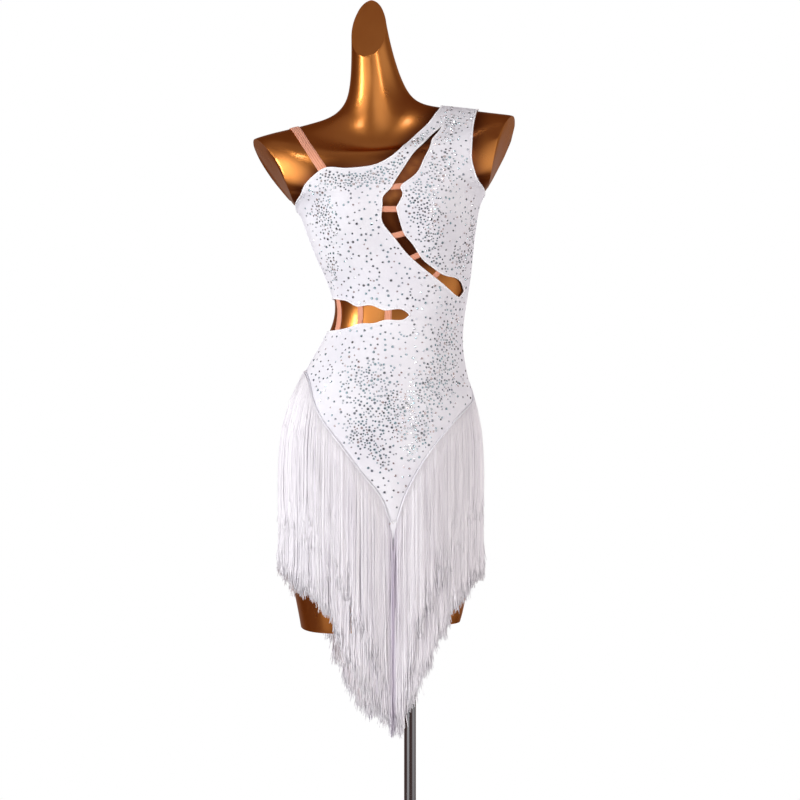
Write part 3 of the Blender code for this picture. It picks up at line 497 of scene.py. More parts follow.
def applied(made: Object) -> Mesh:
    """Take an object's final mesh and remove the object with its data.

    Args:
        made: the object.

    Returns:
        The mesh.
    """
    view = bpy.context.evaluated_depsgraph_get()
    mesh = bpy.data.meshes.new_from_object(made.evaluated_get(view))
    bpy.data.batch_remove([made, made.data])
    return mesh


def rounded(shape: BMesh, levels: int) -> BMesh:
    """Subdivide a bmesh as a smooth surface and free it.

    Args:
        shape: the bmesh.
        levels: subdivision levels.

    Returns:
        The smooth bmesh.
    """
    made = placed("rounded", to_mesh(shape))
    surface = made.modifiers.new("surface", "SUBSURF")
    surface.levels = surface.render_levels = levels
    result = applied(made)
    fine = bmesh.new()
    fine.from_mesh(result)
    bpy.data.meshes.remove(result)
    return fine


def quads(shape: BMesh) -> None:
    """Join a shape's loose triangles into four-sided faces."""
    bmesh.ops.join_triangles(shape, faces=shape.faces, angle_face_threshold=math.radians(50),
                             angle_shape_threshold=math.radians(60))


def loops_of(shape: BMesh) -> list[list[BMVert]]:
    """The free edges of an open sheet as closed loops of corners.

    Args:
        shape: the sheet.

    Returns:
        One list of corners for each loop.
    """
    following = {}
    for edge in shape.edges:
        if edge.is_boundary:
            loop = edge.link_loops[0]
            following[loop.vert] = loop.link_loop_next.vert
    loops = []
    while following:
        loop = [next(iter(following))]
        while loop[-1] in following:
            loop.append(following.pop(loop[-1]))
        loops.append(loop[:-1])
    return loops


def add_rim(sheet: BMesh, outs: dict, thick: float) -> None:
    """Turn an open sheet's free edge in by its thickness.

    Args:
        sheet: the sheet.
        outs: the outward direction at its corners.
        thick: the thickness.
    """
    rim = [e for e in sheet.edges if e.is_boundary]
    grown = bmesh.ops.extrude_edge_only(sheet, edges=rim)["geom"]
    for vert in (g for g in grown if isinstance(g, BMVert)):
        around = (e.other_vert(vert) for e in vert.link_edges)
        vert.co -= next(outs[v] for v in around if v in outs) * thick


def tube(runs: list[ndarray], radius: float) -> Mesh:
    """Thin tubes along open runs of points.

    Args:
        runs: the runs.
        radius: the tubes' radius.

    Returns:
        One mesh of all the tubes.
    """
    curve = bpy.data.curves.new("tube", "CURVE")
    curve.dimensions = "3D"
    curve.bevel_depth = radius
    curve.bevel_resolution = 1
    curve.use_fill_caps = True
    for run in runs:
        spline = curve.splines.new("POLY")
        spline.points.add(len(run) - 1)
        spline.points.foreach_set("co", np.column_stack([run, np.ones(len(run))]).ravel())
    mesh = applied(placed("tube", curve))
    mesh.shade_smooth()
    return mesh


def lengths(points: ndarray) -> ndarray:
    """Distance along a run from its start to each of its points."""
    return np.cumsum(np.linalg.norm(np.diff(points, axis=0, prepend=points[:1]), axis=1))


def evenly(run: ndarray, step: float) -> ndarray:
    """Rows at an even spacing along a run; the first three columns are its points.

    Args:
        run: the rows.
        step: spacing in metres.

    Returns:
        The evenly spaced rows.
    """
    length = lengths(run[:, :3])
    at = np.linspace(0, length[-1], max(2, round(length[-1] / step) + 1))
    return np.stack([np.interp(at, length, column) for column in run.T], axis=1)


def copies(base: BMesh, places: ndarray, axes: ndarray, sizes: ndarray) -> Mesh:
    """One mesh of many small copies of a shape.

    Args:
        base: the shape, freed at the end.
        places: a point for each copy.
        axes: a 3 by 3 matrix for each copy, whose columns are its X, Y and Z.
        sizes: a scale for each copy.

    Returns:
        The joined mesh.
    """
    base.verts.index_update()
    corners = np.array([v.co for v in base.verts])
    faces = [[v.index for v in f.verts] for f in base.faces]
    spots = np.einsum("nij,kj->nki", axes, corners) * sizes[:, None, None] + places[:, None, :]
    every = [[i + len(corners) * n for i in face] for n in range(len(places)) for face in faces]
    base.free()
    mesh = bpy.data.meshes.new("mesh")
    mesh.from_pydata(spots.reshape(-1, 3).tolist(), [], every)
    return mesh


# ---------------------------------------------------------------- display form
class Surface:
    """A fine surface to lay cloth and stones on."""

    touching = 0.0008       # nearer than this, the face's own direction is the way out
    beside = 0.2            # and so it is for a point beside the face, below this cosine
    beyond = 1.25           # level rays go this share of their start's distance

    def __init__(self, shape: BMesh) -> None:
        """Keep a search tree of the shape."""
        self.tree = BVHTree.FromBMesh(shape)

    def nearest(self, point: Vector) -> tuple[Vector, Vector]:
        """Nearest surface point and the outward direction there.

        Args:
            point: a point just off the surface.

        Returns:
            The surface point and a unit direction.
        """
        hit, normal, _, distance = self.tree.find_nearest(point)
        away = point - hit
        if distance < self.touching or away.dot(normal) < self.beside * distance:
            return hit, normal
        return hit, away.normalized()

    def seen(self, x: float, z: float, side: Side) -> tuple[Vector, Vector] | None:
        """Surface point seen at x, z from the front or the back.

        Args:
            x: place across.
            z: height.
            side: the face that is looked at.

        Returns:
            The point and the outward direction, or None beside the surface.
        """
        start = Vector((x, side.value * CAST, z))
        hit, normal, _, _ = self.tree.ray_cast(start, Vector((0, -side.value, 0)))
        return None if hit is None else (hit, normal)

    def reach(self, place: ndarray, out: ndarray, z: float) -> float:
        """How far the surface reaches along a level direction.

        Args:
            place: point to measure from.
            out: level unit direction.
            z: height.

        Returns:
            The reach, or a large negative number below the form.
        """
        start = Vector((place[0], place[1], z)) + Vector(out) * CAST
        hit, _, _, distance = self.tree.ray_cast(start, -Vector(out), self.beyond * CAST)
        return -1.0 if hit is None else CAST - distance


@dataclass
class DisplayForm:
    """Gilded limbless form, with painted shadow on the gold beside the cloth's open edges."""

    node: str = "form_torso"
    name: str = "form_shell"
    levels: int = 2
    sharp: float = math.radians(38)
    still_sharp: float = math.radians(30.4)
    rim: float = 0.0014
    rim_steps: int = 3
    relaxed: int = 8
    # strength, reach and least height of the painted shadow beside the cloth's open edges
    contact: float = 0.93
    painted_shadow_reach: float = 0.018
    painted_shadow_low: float = 1.145

    def build(self, finish: Material) -> Surface:
        """Make the fine form.

        Args:
            finish: its material.

        Returns:
            The form's surface.
        """
        shape = node_copy(self.node)
        quads(shape)
        crease = shape.edges.layers.float.new("crease_edge")
        for edge in shape.edges:
            if len(edge.link_faces) == 2 and edge.calc_face_angle() > self.sharp:
                edge[crease] = 1.0
        fine = rounded(shape, self.levels)
        hard = [e for e in fine.edges if e.calc_face_angle(0.0) > self.still_sharp]
        fixed = {v for e in hard for v in e.verts}
        loose = [v for v in fine.verts if v not in fixed]
        for _ in range(self.relaxed):
            bmesh.ops.smooth_vert(fine, verts=loose, factor=0.5)
        bmesh.ops.bevel(fine, geom=hard, offset=self.rim, segments=self.rim_steps, profile=0.5,
                        affect="EDGES", material=-1, clamp_overlap=True)
        surface = Surface(fine)
        finished(self.name, to_mesh(fine), finish, self.node)
        return surface

    def shade(self, runs: list[ndarray]) -> None:
        """Paint shadow on the gold beside the cloth's open edges, through an attribute.

        Args:
            runs: the edges, points first.
        """
        tree = near_tree([p for run in runs for p in evenly(run, BOUND_STEP)[:, :3]
                          if p[2] > self.painted_shadow_low])
        mesh = bpy.data.objects[self.name].data
        # painted shadow, strongest at the edges and fading over its reach
        near = [self.contact * math.exp(-(tree.find(v.co)[2] / self.painted_shadow_reach) ** 2)
                for v in mesh.vertices]
        mesh.attributes.new("contact", "FLOAT", "POINT").data.foreach_set("value", near)


# ---------------------------------------------------------------- cloth
@dataclass(frozen=True)
class Fold:
    """One soft trough (rise below 0) or ridge, through points given as seen: x, z."""

    side: Side
    width: float
    rise: float
    points: tuple
    step: float = 0.006
    taper: float = 0.7

    def line(self, surface: Surface) -> ndarray:
        """Lay the fold on the surface.

        Args:
            surface: the form's surface.

        Returns:
            Points along the fold.
        """
        rows = evenly(np.array([(x, z, 0.0) for x, z in self.points]), self.step)
        seen = [surface.seen(x, z, self.side) for x, z, _ in rows]
        return np.array([tuple(hit[0]) for hit in seen if hit is not None])


F, B = Side.FRONT, Side.BACK
# Columns: side, width, rise, points as seen.
FOLDS = tuple(Fold(*row) for row in (
    (F, 0.008, -0.0011, ((0.004, 1.060), (0.030, 1.053), (0.056, 1.052), (0.082, 1.058))),
    (F, 0.007, 0.0008, ((0.000, 1.045), (0.024, 1.038), (0.060, 1.036))),
    (F, 0.009, -0.0009, ((-0.004, 1.074), (0.020, 1.079), (0.052, 1.080))),
    (F, 0.009, -0.0010, ((-0.108, 1.029), (-0.070, 1.031), (-0.030, 1.037))),
    (F, 0.008, 0.0007, ((-0.118, 1.016), (-0.080, 1.014), (-0.035, 1.020))),
    (F, 0.010, -0.0009, ((-0.058, 1.203), (-0.092, 1.180), (-0.136, 1.160))),
    (F, 0.009, 0.0007, ((-0.060, 1.188), (-0.090, 1.164), (-0.128, 1.142))),
    (F, 0.009, -0.0008, ((-0.038, 1.170), (-0.070, 1.136), (-0.112, 1.110))),
    (F, 0.008, -0.0009, ((0.016, 1.150), (0.040, 1.160), (0.084, 1.170))),
    (F, 0.010, 0.0008, ((0.004, 1.190), (0.034, 1.176), (0.086, 1.186))),
    (F, 0.009, -0.0010, ((0.103, 1.268), (0.084, 1.248), (0.050, 1.238))),
    (F, 0.008, -0.0008, ((0.092, 1.322), (0.076, 1.300), (0.060, 1.270))),
    (F, 0.009, -0.0009, ((-0.150, 1.266), (-0.126, 1.246), (-0.108, 1.232))),
    (F, 0.009, 0.0006, ((-0.155, 1.252), (-0.136, 1.222), (-0.120, 1.206))),
    (F, 0.011, -0.0008, ((-0.150, 0.984), (-0.096, 0.962), (-0.030, 0.958))),
    (F, 0.012, 0.0007, ((0.088, 0.992), (0.050, 0.972), (0.000, 0.966))),
    (F, 0.009, -0.0009, ((0.092, 0.962), (0.060, 0.944), (0.022, 0.930))),
    (F, 0.008, -0.0010, ((-0.072, 0.826), (-0.052, 0.796), (-0.036, 0.758))),
    (F, 0.008, -0.0009, ((0.006, 0.816), (-0.010, 0.784), (-0.020, 0.750))),
    (F, 0.007, 0.0007, ((-0.030, 0.836), (-0.029, 0.796), (-0.027, 0.752))),
    (B, 0.010, -0.0012, ((-0.066, 1.060), (-0.020, 1.052), (0.050, 1.056))),
    (B, 0.009, 0.0009, ((-0.070, 1.040), (-0.010, 1.034), (0.064, 1.040))),
    (B, 0.011, -0.0010, ((-0.100, 1.022), (-0.030, 1.012), (0.070, 1.022))),
    (B, 0.010, -0.0009, ((-0.074, 1.078), (-0.030, 1.084), (0.060, 1.088))),
    (B, 0.011, -0.0009, ((-0.150, 1.240), (-0.090, 1.220), (-0.030, 1.216))),
    (B, 0.010, -0.0009, ((0.104, 1.286), (0.070, 1.256), (0.020, 1.244))),
    (B, 0.009, 0.0007, ((0.094, 1.340), (0.072, 1.300), (0.040, 1.270))),
    (B, 0.012, -0.0009, ((-0.150, 0.980), (-0.090, 0.955), (-0.040, 0.945))),
    (B, 0.012, -0.0009, ((0.084, 0.970), (0.040, 0.950), (-0.020, 0.944))),
    (B, 0.009, -0.0010, ((-0.080, 0.840), (-0.058, 0.800), (-0.048, 0.760))),
    (B, 0.009, -0.0010, ((-0.004, 0.850), (-0.026, 0.806), (-0.040, 0.764))),
))


@dataclass
class ClothSheet:
    """One cut piece of stretch cloth on the form."""

    node: str
    flat: tuple[float, float]
    flat_area: float
    levels: int = 3
    off: float = 0.0027
    thick: float = 0.0012
    corner_angle: float = math.radians(35)
    relaxed: int = 2
    loops: list = field(default_factory=list)
    built: Object | None = None

    def build(self, surface: Surface, finish: Material) -> None:
        """Make the fine sheet with its folds and a rim of the cloth's thickness.

        Args:
            surface: the form's surface.
            finish: its material.
        """
        skin = outer_skin(self.node, surface, self.corner_angle)
        hold_outline(skin)
        sheet = rounded(skin, self.levels)
        laid = [surface.nearest(v.co) for v in sheet.verts]
        points, outs = (np.array([pair[k] for pair in laid]) for k in (0, 1))
        rise = self.off + folded(points, surface)
        for vert, place in zip(sheet.verts, points + outs * rise[:, None]):
            vert.co = place
        free = {v for e in sheet.edges if e.is_boundary for v in e.verts}
        inner = [v for v in sheet.verts if v not in free]
        for _ in range(self.relaxed):
            bmesh.ops.smooth_vert(sheet, verts=inner, factor=0.5)
        sheet.verts.index_update()
        for loop in loops_of(sheet):
            index = [v.index for v in loop]
            self.loops.append(np.column_stack([[v.co for v in loop], outs[index]]))
        add_rim(sheet, {v: Vector(outs[v.index]) for v in free}, self.thick)
        LOG.info("%s: worn area %.4f m2", self.node, sum(f.calc_area() for f in sheet.faces))
        self.built = finished(self.node + "_cloth", to_mesh(sheet), finish, self.node)


def outer_skin(node: str, surface: Surface, corner_angle: float, facing: float = 0.5) -> BMesh:
    """The outward faces of a thin wall, with the outline's sharp corners kept.

    Args:
        node: name of the CAD node.
        surface: the form's surface.
        corner_angle: turns of the outline above this are corners.
        facing: least cosine between an outer face and the way out.

    Returns:
        An open sheet.
    """
    shape = node_copy(node)
    lost = [face for face in shape.faces
            if face.normal.dot(surface.nearest(face.calc_center_median())[1]) < facing]
    bmesh.ops.delete(shape, geom=lost, context="FACES")
    bmesh.ops.delete(shape, geom=[v for v in shape.verts if not v.link_faces], context="VERTS")
    crease = shape.verts.layers.float.new("crease_vert")
    for loop in loops_of(shape):
        for before, here, after in zip(loop[-1:] + loop[:-1], loop, loop[1:] + loop[:1]):
            if (here.co - before.co).angle(after.co - here.co, 0.0) > corner_angle:
                here[crease] = 1.0
    return shape


def hold_outline(sheet: BMesh, rounds: int = 4) -> None:
    """Move the outline's points so that the smooth edge passes where they were.

    Args:
        sheet: an open sheet with its corners marked.
        rounds: passes.
    """
    crease = sheet.verts.layers.float["crease_vert"]
    for loop in loops_of(sheet):
        wanted = np.array([v.co for v in loop])
        fixed = np.array([v[crease] > 0 for v in loop])
        moved = wanted.copy()
        for _ in range(rounds):
            smooth = (np.roll(moved, 1, axis=0) + 4 * moved + np.roll(moved, -1, axis=0)) / 6
            smooth[fixed] = moved[fixed]
            moved = moved + wanted - smooth
        for vert, place in zip(loop, moved):
            vert.co = place


def folded(points: ndarray, surface: Surface) -> ndarray:
    """Rise of the cloth over its even lay at surface points, from all the folds.

    Args:
        points: surface points.
        surface: the form's surface.

    Returns:
        A rise for each point.
    """
    total = np.zeros(len(points))
    for fold in FOLDS:
        line = fold.line(surface)
        if len(line) < 3:
            continue
        gaps = np.linalg.norm(points[:, None] - line[None], axis=2)
        close = np.argmin(gaps, axis=1)
        taper = np.maximum(np.sin(math.pi * close / (len(line) - 1)), 0) ** fold.taper
        total += fold.rise * taper * np.exp(-(gaps.min(axis=1) / fold.width) ** 2)
    return total


@dataclass
class Edges:
    """Bound edges, seams and stitches of all the sheets."""

    sheets: list[ClothSheet]
    seam_gap: float = 0.0024
    bind_radius: float = 0.0013
    seam_radius: float = 0.0008
    vee_radius: float = 0.0012
    vee_rise: float = 0.0004
    hem: tuple = (0.0046, 0.0009, 0.0005)   # width, softness and height of a turned hem
    dip: tuple = (0.0018, 0.0010)           # reach and depth of the cloth's dip at a seam
    press_step: float = 0.0015
    least_run: int = 5
    stitch_in: float = 0.0045
    stitch_step: float = 0.0034
    stitch_size: tuple = (0.0022, 0.0004, 0.0003)
    free: dict = field(default_factory=dict)
    sewn: dict = field(default_factory=dict)

    def sort(self) -> None:
        """Split each sheet's outline into free runs and sewn runs."""
        for sheet in self.sheets:
            tree = near_tree(np.concatenate([loop[:, :3] for other in self.sheets
                                             if other is not sheet for loop in other.loops]))
            self.free[sheet.node], self.sewn[sheet.node] = groups = [], []
            for loop in sheet.loops:
                joined = np.array([tree.find(p)[2] < self.seam_gap for p in loop[:, :3]])
                change = np.flatnonzero(joined != np.roll(joined, 1))
                if not len(change):
                    groups[int(joined[0])].append(np.concatenate([loop, loop[:2]]))
                    continue
                loop, joined = np.roll(loop, -change[0], axis=0), np.roll(joined, -change[0])
                start = 0
                for end in (*np.flatnonzero(np.diff(joined)) + 1, len(loop)):
                    run = loop[max(start - 1, 0):end + 1]
                    if len(run) >= self.least_run:
                        groups[int(joined[start])].append(run)
                    start = end

    def press(self, surface: Surface) -> None:
        """Raise the turned hems along the free edges and sink the cloth beside the seams.

        Args:
            surface: the form's surface.
        """
        width, soft, height = self.hem
        reach, depth = self.dip
        for sheet in self.sheets:
            trees = [near_tree([p for run in runs for p in evenly(run, self.press_step)[:, :3]])
                     for runs in (self.free[sheet.node], self.sewn[sheet.node])]
            for vert in sheet.built.data.vertices:
                gaps = (tree.find(vert.co)[2] for tree in trees)
                free, sewn = (1.0 if gap is None else gap for gap in gaps)
                rise = height / (1 + math.exp(min((free - width) / (soft / 4), 40)))
                if free > width:
                    rise -= 0.5 * height * math.exp(-((free - width - soft) / soft) ** 2)
                rise -= depth * math.exp(-((sewn - reach) / reach) ** 2)
                if abs(rise) > MERGE:
                    vert.co += surface.nearest(vert.co)[1] * rise

    def build(self, cloth: Material, painted_highlight_satin: Material, thread: Material) -> None:
        """Make the bindings, the seam cords and the stitch rows.

        Args:
            cloth: finish of the seams.
            painted_highlight_satin: finish of the bindings, a paler copy of the cloth's satin that
                paints their highlight.
            thread: finish of the stitches.
        """
        bound = [evenly(r, BOUND_STEP) for runs in self.free.values() for r in runs]
        side = [evenly(r, SEAM_STEP)[:, :3] for r in self.sewn["front_panel"]]
        vee = [evenly(r, SEAM_STEP) for band in BANDS for r in self.sewn[band]]
        raised = [r[:, :3] + r[:, 3:] * self.vee_rise for r in vee]
        for name, runs, radius, finish in (
                ("edge_binding", [r[:, :3] for r in bound], self.bind_radius, painted_highlight_satin),
                ("side_seams", side, self.seam_radius, cloth),
                ("vee_seams", raised, self.vee_radius, cloth)):
            finished(name, tube(runs, radius), finish)
        self.stitches(bound, thread)

    def stitches(self, runs: list[ndarray], thread: Material) -> None:
        """Make a row of small stitches inside every bound edge.

        Args:
            runs: the bound runs with outward directions.
            thread: the thread's finish.
        """
        places, axes = [], []
        for run in runs:
            rows = evenly(run, self.stitch_step)
            along, outs = unit(np.gradient(rows[:, :3], axis=0)), unit(rows[:, 3:])
            inner = np.cross(outs, along)
            places.append(rows[:, :3] + inner * self.stitch_in)
            axes.append(np.stack([along, inner, outs], axis=2))
        base = bmesh.new()
        bmesh.ops.create_cone(base, cap_ends=True, segments=6, radius1=0.5, radius2=0.5, depth=1.0)
        bmesh.ops.rotate(base, verts=base.verts, matrix=Matrix.Rotation(math.pi / 2, 3, "Y"))
        bmesh.ops.scale(base, verts=base.verts, vec=self.stitch_size)
        places = np.concatenate(places)
        mesh = copies(base, places, np.concatenate(axes), np.ones(len(places)))
        finished("edge_stitches", mesh, thread)


# ---------------------------------------------------------------- elastics and gusset
@dataclass
class Strip:
    """A narrow strip laid on the form: an elastic or the gusset."""

    node: str
    name: str
    slot: Slot
    off: float = 0.0013
    crown: float = 0.0004
    thick: float = 0.0008
    corner_angle: float = math.radians(60)
    facing: float = 0.3
    cuts: int = 3
    lap: float = 0.0

    def build(self, surface: Surface, finish: Material) -> None:
        """Make the strip with its UV map: U across it and V along it in metres.

        Args:
            surface: the form's surface.
            finish: its material.
        """
        strip = outer_skin(self.node, surface, self.corner_angle, self.facing)
        quads(strip)
        crease = strip.verts.layers.float["crease_vert"]
        ends = [v for v in strip.verts if v[crease] > 0]
        for vert in ends:
            sides = (e for e in vert.link_edges if e.is_boundary)
            far = max(sides, key=lambda e: e.calc_length()).other_vert(vert)
            vert.co += (vert.co - far.co).normalized() * self.lap
        corners = [v.co.copy() for v in ends]
        bmesh.ops.subdivide_edges(strip, edges=strip.edges, cuts=self.cuts, use_grid_fill=True)
        shares, runs = self.measured(strip, self.long_sides(strip, corners))
        outs = {}
        for vert, share in zip(strip.verts, shares):
            hit, outs[vert] = surface.nearest(vert.co)
            if not self.lap:
                vert.co = hit + outs[vert] * (self.off + self.crown * math.sin(math.pi * share))
        uv = strip.loops.layers.uv.new("UVMap")
        strip.verts.index_update()
        for face in strip.faces:
            for loop in face.loops:
                loop[uv].uv = shares[loop.vert.index], runs[loop.vert.index]
        add_rim(strip, outs, self.thick)
        finished(self.name, to_mesh(strip), finish, self.node)

    def long_sides(self, strip: BMesh, corners: list[Vector]) -> list[ndarray]:
        """The two longest stretches of the outline between its corners.

        Args:
            strip: the open strip.
            corners: the places of its four corners.

        Returns:
            Two arrays of points that run the same way.
        """
        places = np.array([v.co for v in max(loops_of(strip), key=len)])
        marks = sorted({int(np.linalg.norm(places - np.array(c), axis=1).argmin())
                        for c in corners})
        spans = [places[np.arange(start, end + 1) % len(places)]
                 for start, end in zip(marks, marks[1:] + [marks[0] + len(places)])]
        first, second = sorted(spans, key=lambda span: -lengths(span)[-1])[:2]
        if np.linalg.norm(first[0] - second[0]) > np.linalg.norm(first[0] - second[-1]):
            second = second[::-1]
        return [first, second]

    def measured(self, strip: BMesh, sides: list[ndarray]) -> tuple[ndarray, ndarray]:
        """Share across the strip and distance along it for each corner point.

        Args:
            strip: the strip.
            sides: its two long sides.

        Returns:
            The shares and the distances.
        """
        points = np.array([v.co for v in strip.verts])
        gaps = [np.linalg.norm(points[:, None] - side[None], axis=2) for side in sides]
        near = [g.min(axis=1) for g in gaps]
        shares = near[0] / np.maximum(near[0] + near[1], 1e-9)
        return shares, lengths(sides[0])[gaps[0].argmin(axis=1)]


# ---------------------------------------------------------------- fringe
@dataclass
class Strands:
    """The strands of a tier before they are bent, with a row for each."""

    rng: np.random.Generator        # random source of the whole tier
    at: ndarray                     # distance along the tape
    whole: float                    # the tape's length
    place: ndarray                  # root
    way: ndarray                    # level way outward
    aside: ndarray                  # level way sideways
    bend: ndarray                   # whether the tape runs that way (1) or against it (-1)
    fall: ndarray                   # how far out the strand hangs at each drop
    layer: ndarray                  # how near it lies to the outside of the tier, 0 to 1
    share: ndarray | None = None    # share of the length at each level, the same for all
    drop: ndarray | None = None     # drop at each level

    def near_ends(self, reach: float, last: float = 1.0) -> ndarray:
        """A column of what is 1 at the tape's start, last at its end and fades between them."""
        near = np.exp(-self.at / reach) + last * np.exp(-(self.whole - self.at) / reach)
        return near[:, None]


@dataclass
class FringeTier:
    """One tape of fringe with its many strands, hung from a seam or a free edge."""

    node: str
    root: ndarray                           # points of the tape, with outward directions
    seed: int
    fall: float                             # distance off the form where it hangs free
    start: float = 0.0006                   # and at the root
    strands: int = 2440
    levels: int = 9
    bunched: float = 1.4                    # levels lie closer near the tip, by this power
    radius: float = 0.00072
    thickness: tuple = (0.8, 1.2)           # of single strands, and of their tips
    tip_radius: float = 0.6
    least: float = 0.03
    depth: float = 0.0030                   # of the tier, and the drop where it is full
    depth_drop: float = 0.03
    rise_drop: float = 0.060
    drop_step: float = 0.008
    drops: int = 50
    clumps: int = 400
    clump: float = 0.006
    clump_width: tuple = (0.5, 1.6)
    pull: tuple = (0.15, 0.6)               # how far the clumps draw together
    lean: tuple = (0.0016, 0.0020)          # of a strand and of its clump
    wave: tuple = (0.0002, 0.0011)          # for a strand of the usual length
    usual: float = 0.25
    waves: tuple = (0.6, 2.2)
    curl: float = 0.0022                    # of the ends; the power keeps it to the ends
    curl_power: int = 12
    curl_aside: float = 1.4                 # more of it goes sideways
    ragged: float = 0.0038
    early: tuple = (0.12, 0.004, 0.020)     # share of short strands, and by how much
    lift: float = 0.007                     # of the tips; they drop within reach of the ends
    lift_ends: tuple = (3.0, 0.03)
    lock_end: tuple = (0.0006, 0.02)        # a solid lock's end: how level, below what rise
    beside: tuple = (6, 0.002)              # how many locks lead a tip, and how far they blend
    closing: float = 0.0                    # of the gap at the middle; its reach and full drop
    closing_reach: tuple = (0.014, 0.07)
    tuck: float = 0.0                       # of the tips, over their last share
    tuck_share: float = 0.28
    valley: float = 0.0                     # dip at the middle; its reach, first drop and height
    valley_reach: tuple = (0.007, 0.11, 0.10)
    fold: float = 0.0050                    # half-width of the painted shade of the fold at the middle
    short: float = 0.0050                   # and how far it lies inside the tape's end
    tints: tuple = (0.48, 0.20, 0.75)       # of a strand's own tone, of the painted shade on the inmost and of the painted shade in the fold
    spread: tuple = (0.9, 2.4)              # of the strands' own tints, as a beta spread
    tip_painted_light: tuple = (0.9, 10)                 # how much and how near the tips the painted light pales the strands

    def build(self, surface: Surface, finish: Material) -> None:
        """Make all the strands as one mesh.

        Args:
            surface: the form's surface.
            finish: their material.
        """
        rows = evenly(self.root, SEAM_STEP)
        each = self.hung(surface, rows)
        length = np.maximum(each.place[:, 2] - self.tips(each), self.least)
        each.share = 1 - np.linspace(1, 0, self.levels) ** self.bunched
        each.drop = length[:, None] * each.share
        sway, reach = self.sway(each)[..., None], self.reach(each)[..., None]
        line = each.place[:, None] + each.way[:, None] * reach + each.aside[:, None] * sway
        line[..., 2] = each.place[:, 2, None] - each.drop
        # where the painted shade of the fold at the middle falls
        ends = np.where(line[..., 1] < 0, rows[0, 0], rows[-1, 0])
        ends += self.short * np.sign(rows[0, 0] - rows[:, 0].mean())
        fold = np.exp(-((line[..., 0] - ends) / self.fold) ** 2)
        mesh = self.strand_mesh(each, line, fold)
        finished(self.node + "_strands", mesh, finish, self.node)

    def hung(self, surface: Surface, rows: ndarray) -> Strands:
        """Spread the strands along the tape and hang them from it.

        Args:
            surface: the form's surface.
            rows: the tape at an even spacing.

        Returns:
            The strands.
        """
        rng = np.random.default_rng(self.seed)
        level = unit(np.column_stack([rows[:, 3:5], np.zeros(len(rows))]))
        falls = self.falls(surface, rows[:, :3], level)
        run = lengths(rows[:, :2])
        at = np.sort(rng.uniform(0, run[-1], self.strands))
        spot = np.interp(at, run, np.arange(len(rows)))
        low = np.clip(spot.astype(int), 0, len(rows) - 2)
        part = (spot - low)[:, None]
        place, way, fall = (table[low] * (1 - part) + table[low + 1] * part
                            for table in (rows[:, :3], level, falls))
        way = unit(way)
        aside = np.stack([way[:, 1], -way[:, 0], 0 * way[:, 0]], axis=1)
        bend = np.sign(np.sum(np.diff(rows[:, :3], axis=0)[low] * aside, axis=1))[:, None]
        layer = rng.uniform(0, 1, self.strands)
        return Strands(rng, at, run[-1], place, way, aside, bend, fall, layer)

    def falls(self, surface: Surface, roots: ndarray, level: ndarray) -> ndarray:
        """How far out the strands hang at each drop below each root.

        Args:
            surface: the form's surface.
            roots: points of the tape.
            level: level outward direction at each root.

        Returns:
            An array of roots by drops.
        """
        out = np.zeros((len(roots), self.drops))
        for i, (place, way) in enumerate(zip(roots, level)):
            widest = self.start
            for k in range(self.drops):
                drop = (k + 0.5) * self.drop_step
                share = min(drop / self.rise_drop, 1.0)
                off = self.start + (self.fall - self.start) * share
                widest = max(widest, surface.reach(place, way, place[2] - drop) + off)
                out[i, k] = widest
            out[i, 0] = self.start
        out = np.pad(out, ((2, 2), (2, 2)), mode="edge")
        for axis in (1, 0):
            out = np.apply_along_axis(np.convolve, axis, out, np.ones(5) / 5, "valid")
        return out

    def tips(self, each: Strands) -> ndarray:
        """Height of each strand's tip: at the solid locks' ends, ragged, with some short ones.

        Args:
            each: the strands.

        Returns:
            The heights.
        """
        shape = node_copy(self.node)
        (level, rise), (count, blend), (sink, reach) = self.lock_end, self.beside, self.lift_ends
        ends = []
        for vert in shape.verts:
            heights = [e.other_vert(vert).co.z - vert.co.z for e in vert.link_edges]
            if min(heights) > -level and max(heights) > rise:
                ends.append(vert.co.copy())
        shape.free()
        heights = np.array([end.z for end in ends])
        tree = near_tree([(end.x, end.y, 0) for end in ends])
        tips = np.empty(self.strands)
        for i, (x, y, _) in enumerate(each.place + each.way * each.fall[:, -1:]):
            near = tree.find_n((x, y, 0), count)
            weight = np.array([1 / (distance + blend) for _, _, distance in near])
            tips[i] = np.dot(weight, heights[[n for _, n, _ in near]]) / weight.sum()
        tips += (self.lift * (1 - sink * each.near_ends(reach)[:, 0])
                 + each.rng.normal(0, self.ragged, self.strands))
        clump = (each.at / self.clump).astype(int) % self.clumps
        tips += each.rng.normal(0, self.ragged, self.clumps)[clump]
        share, *by = self.early
        early = each.rng.uniform(size=self.strands) < share
        return tips + np.where(early, each.rng.uniform(*by, self.strands), 0)

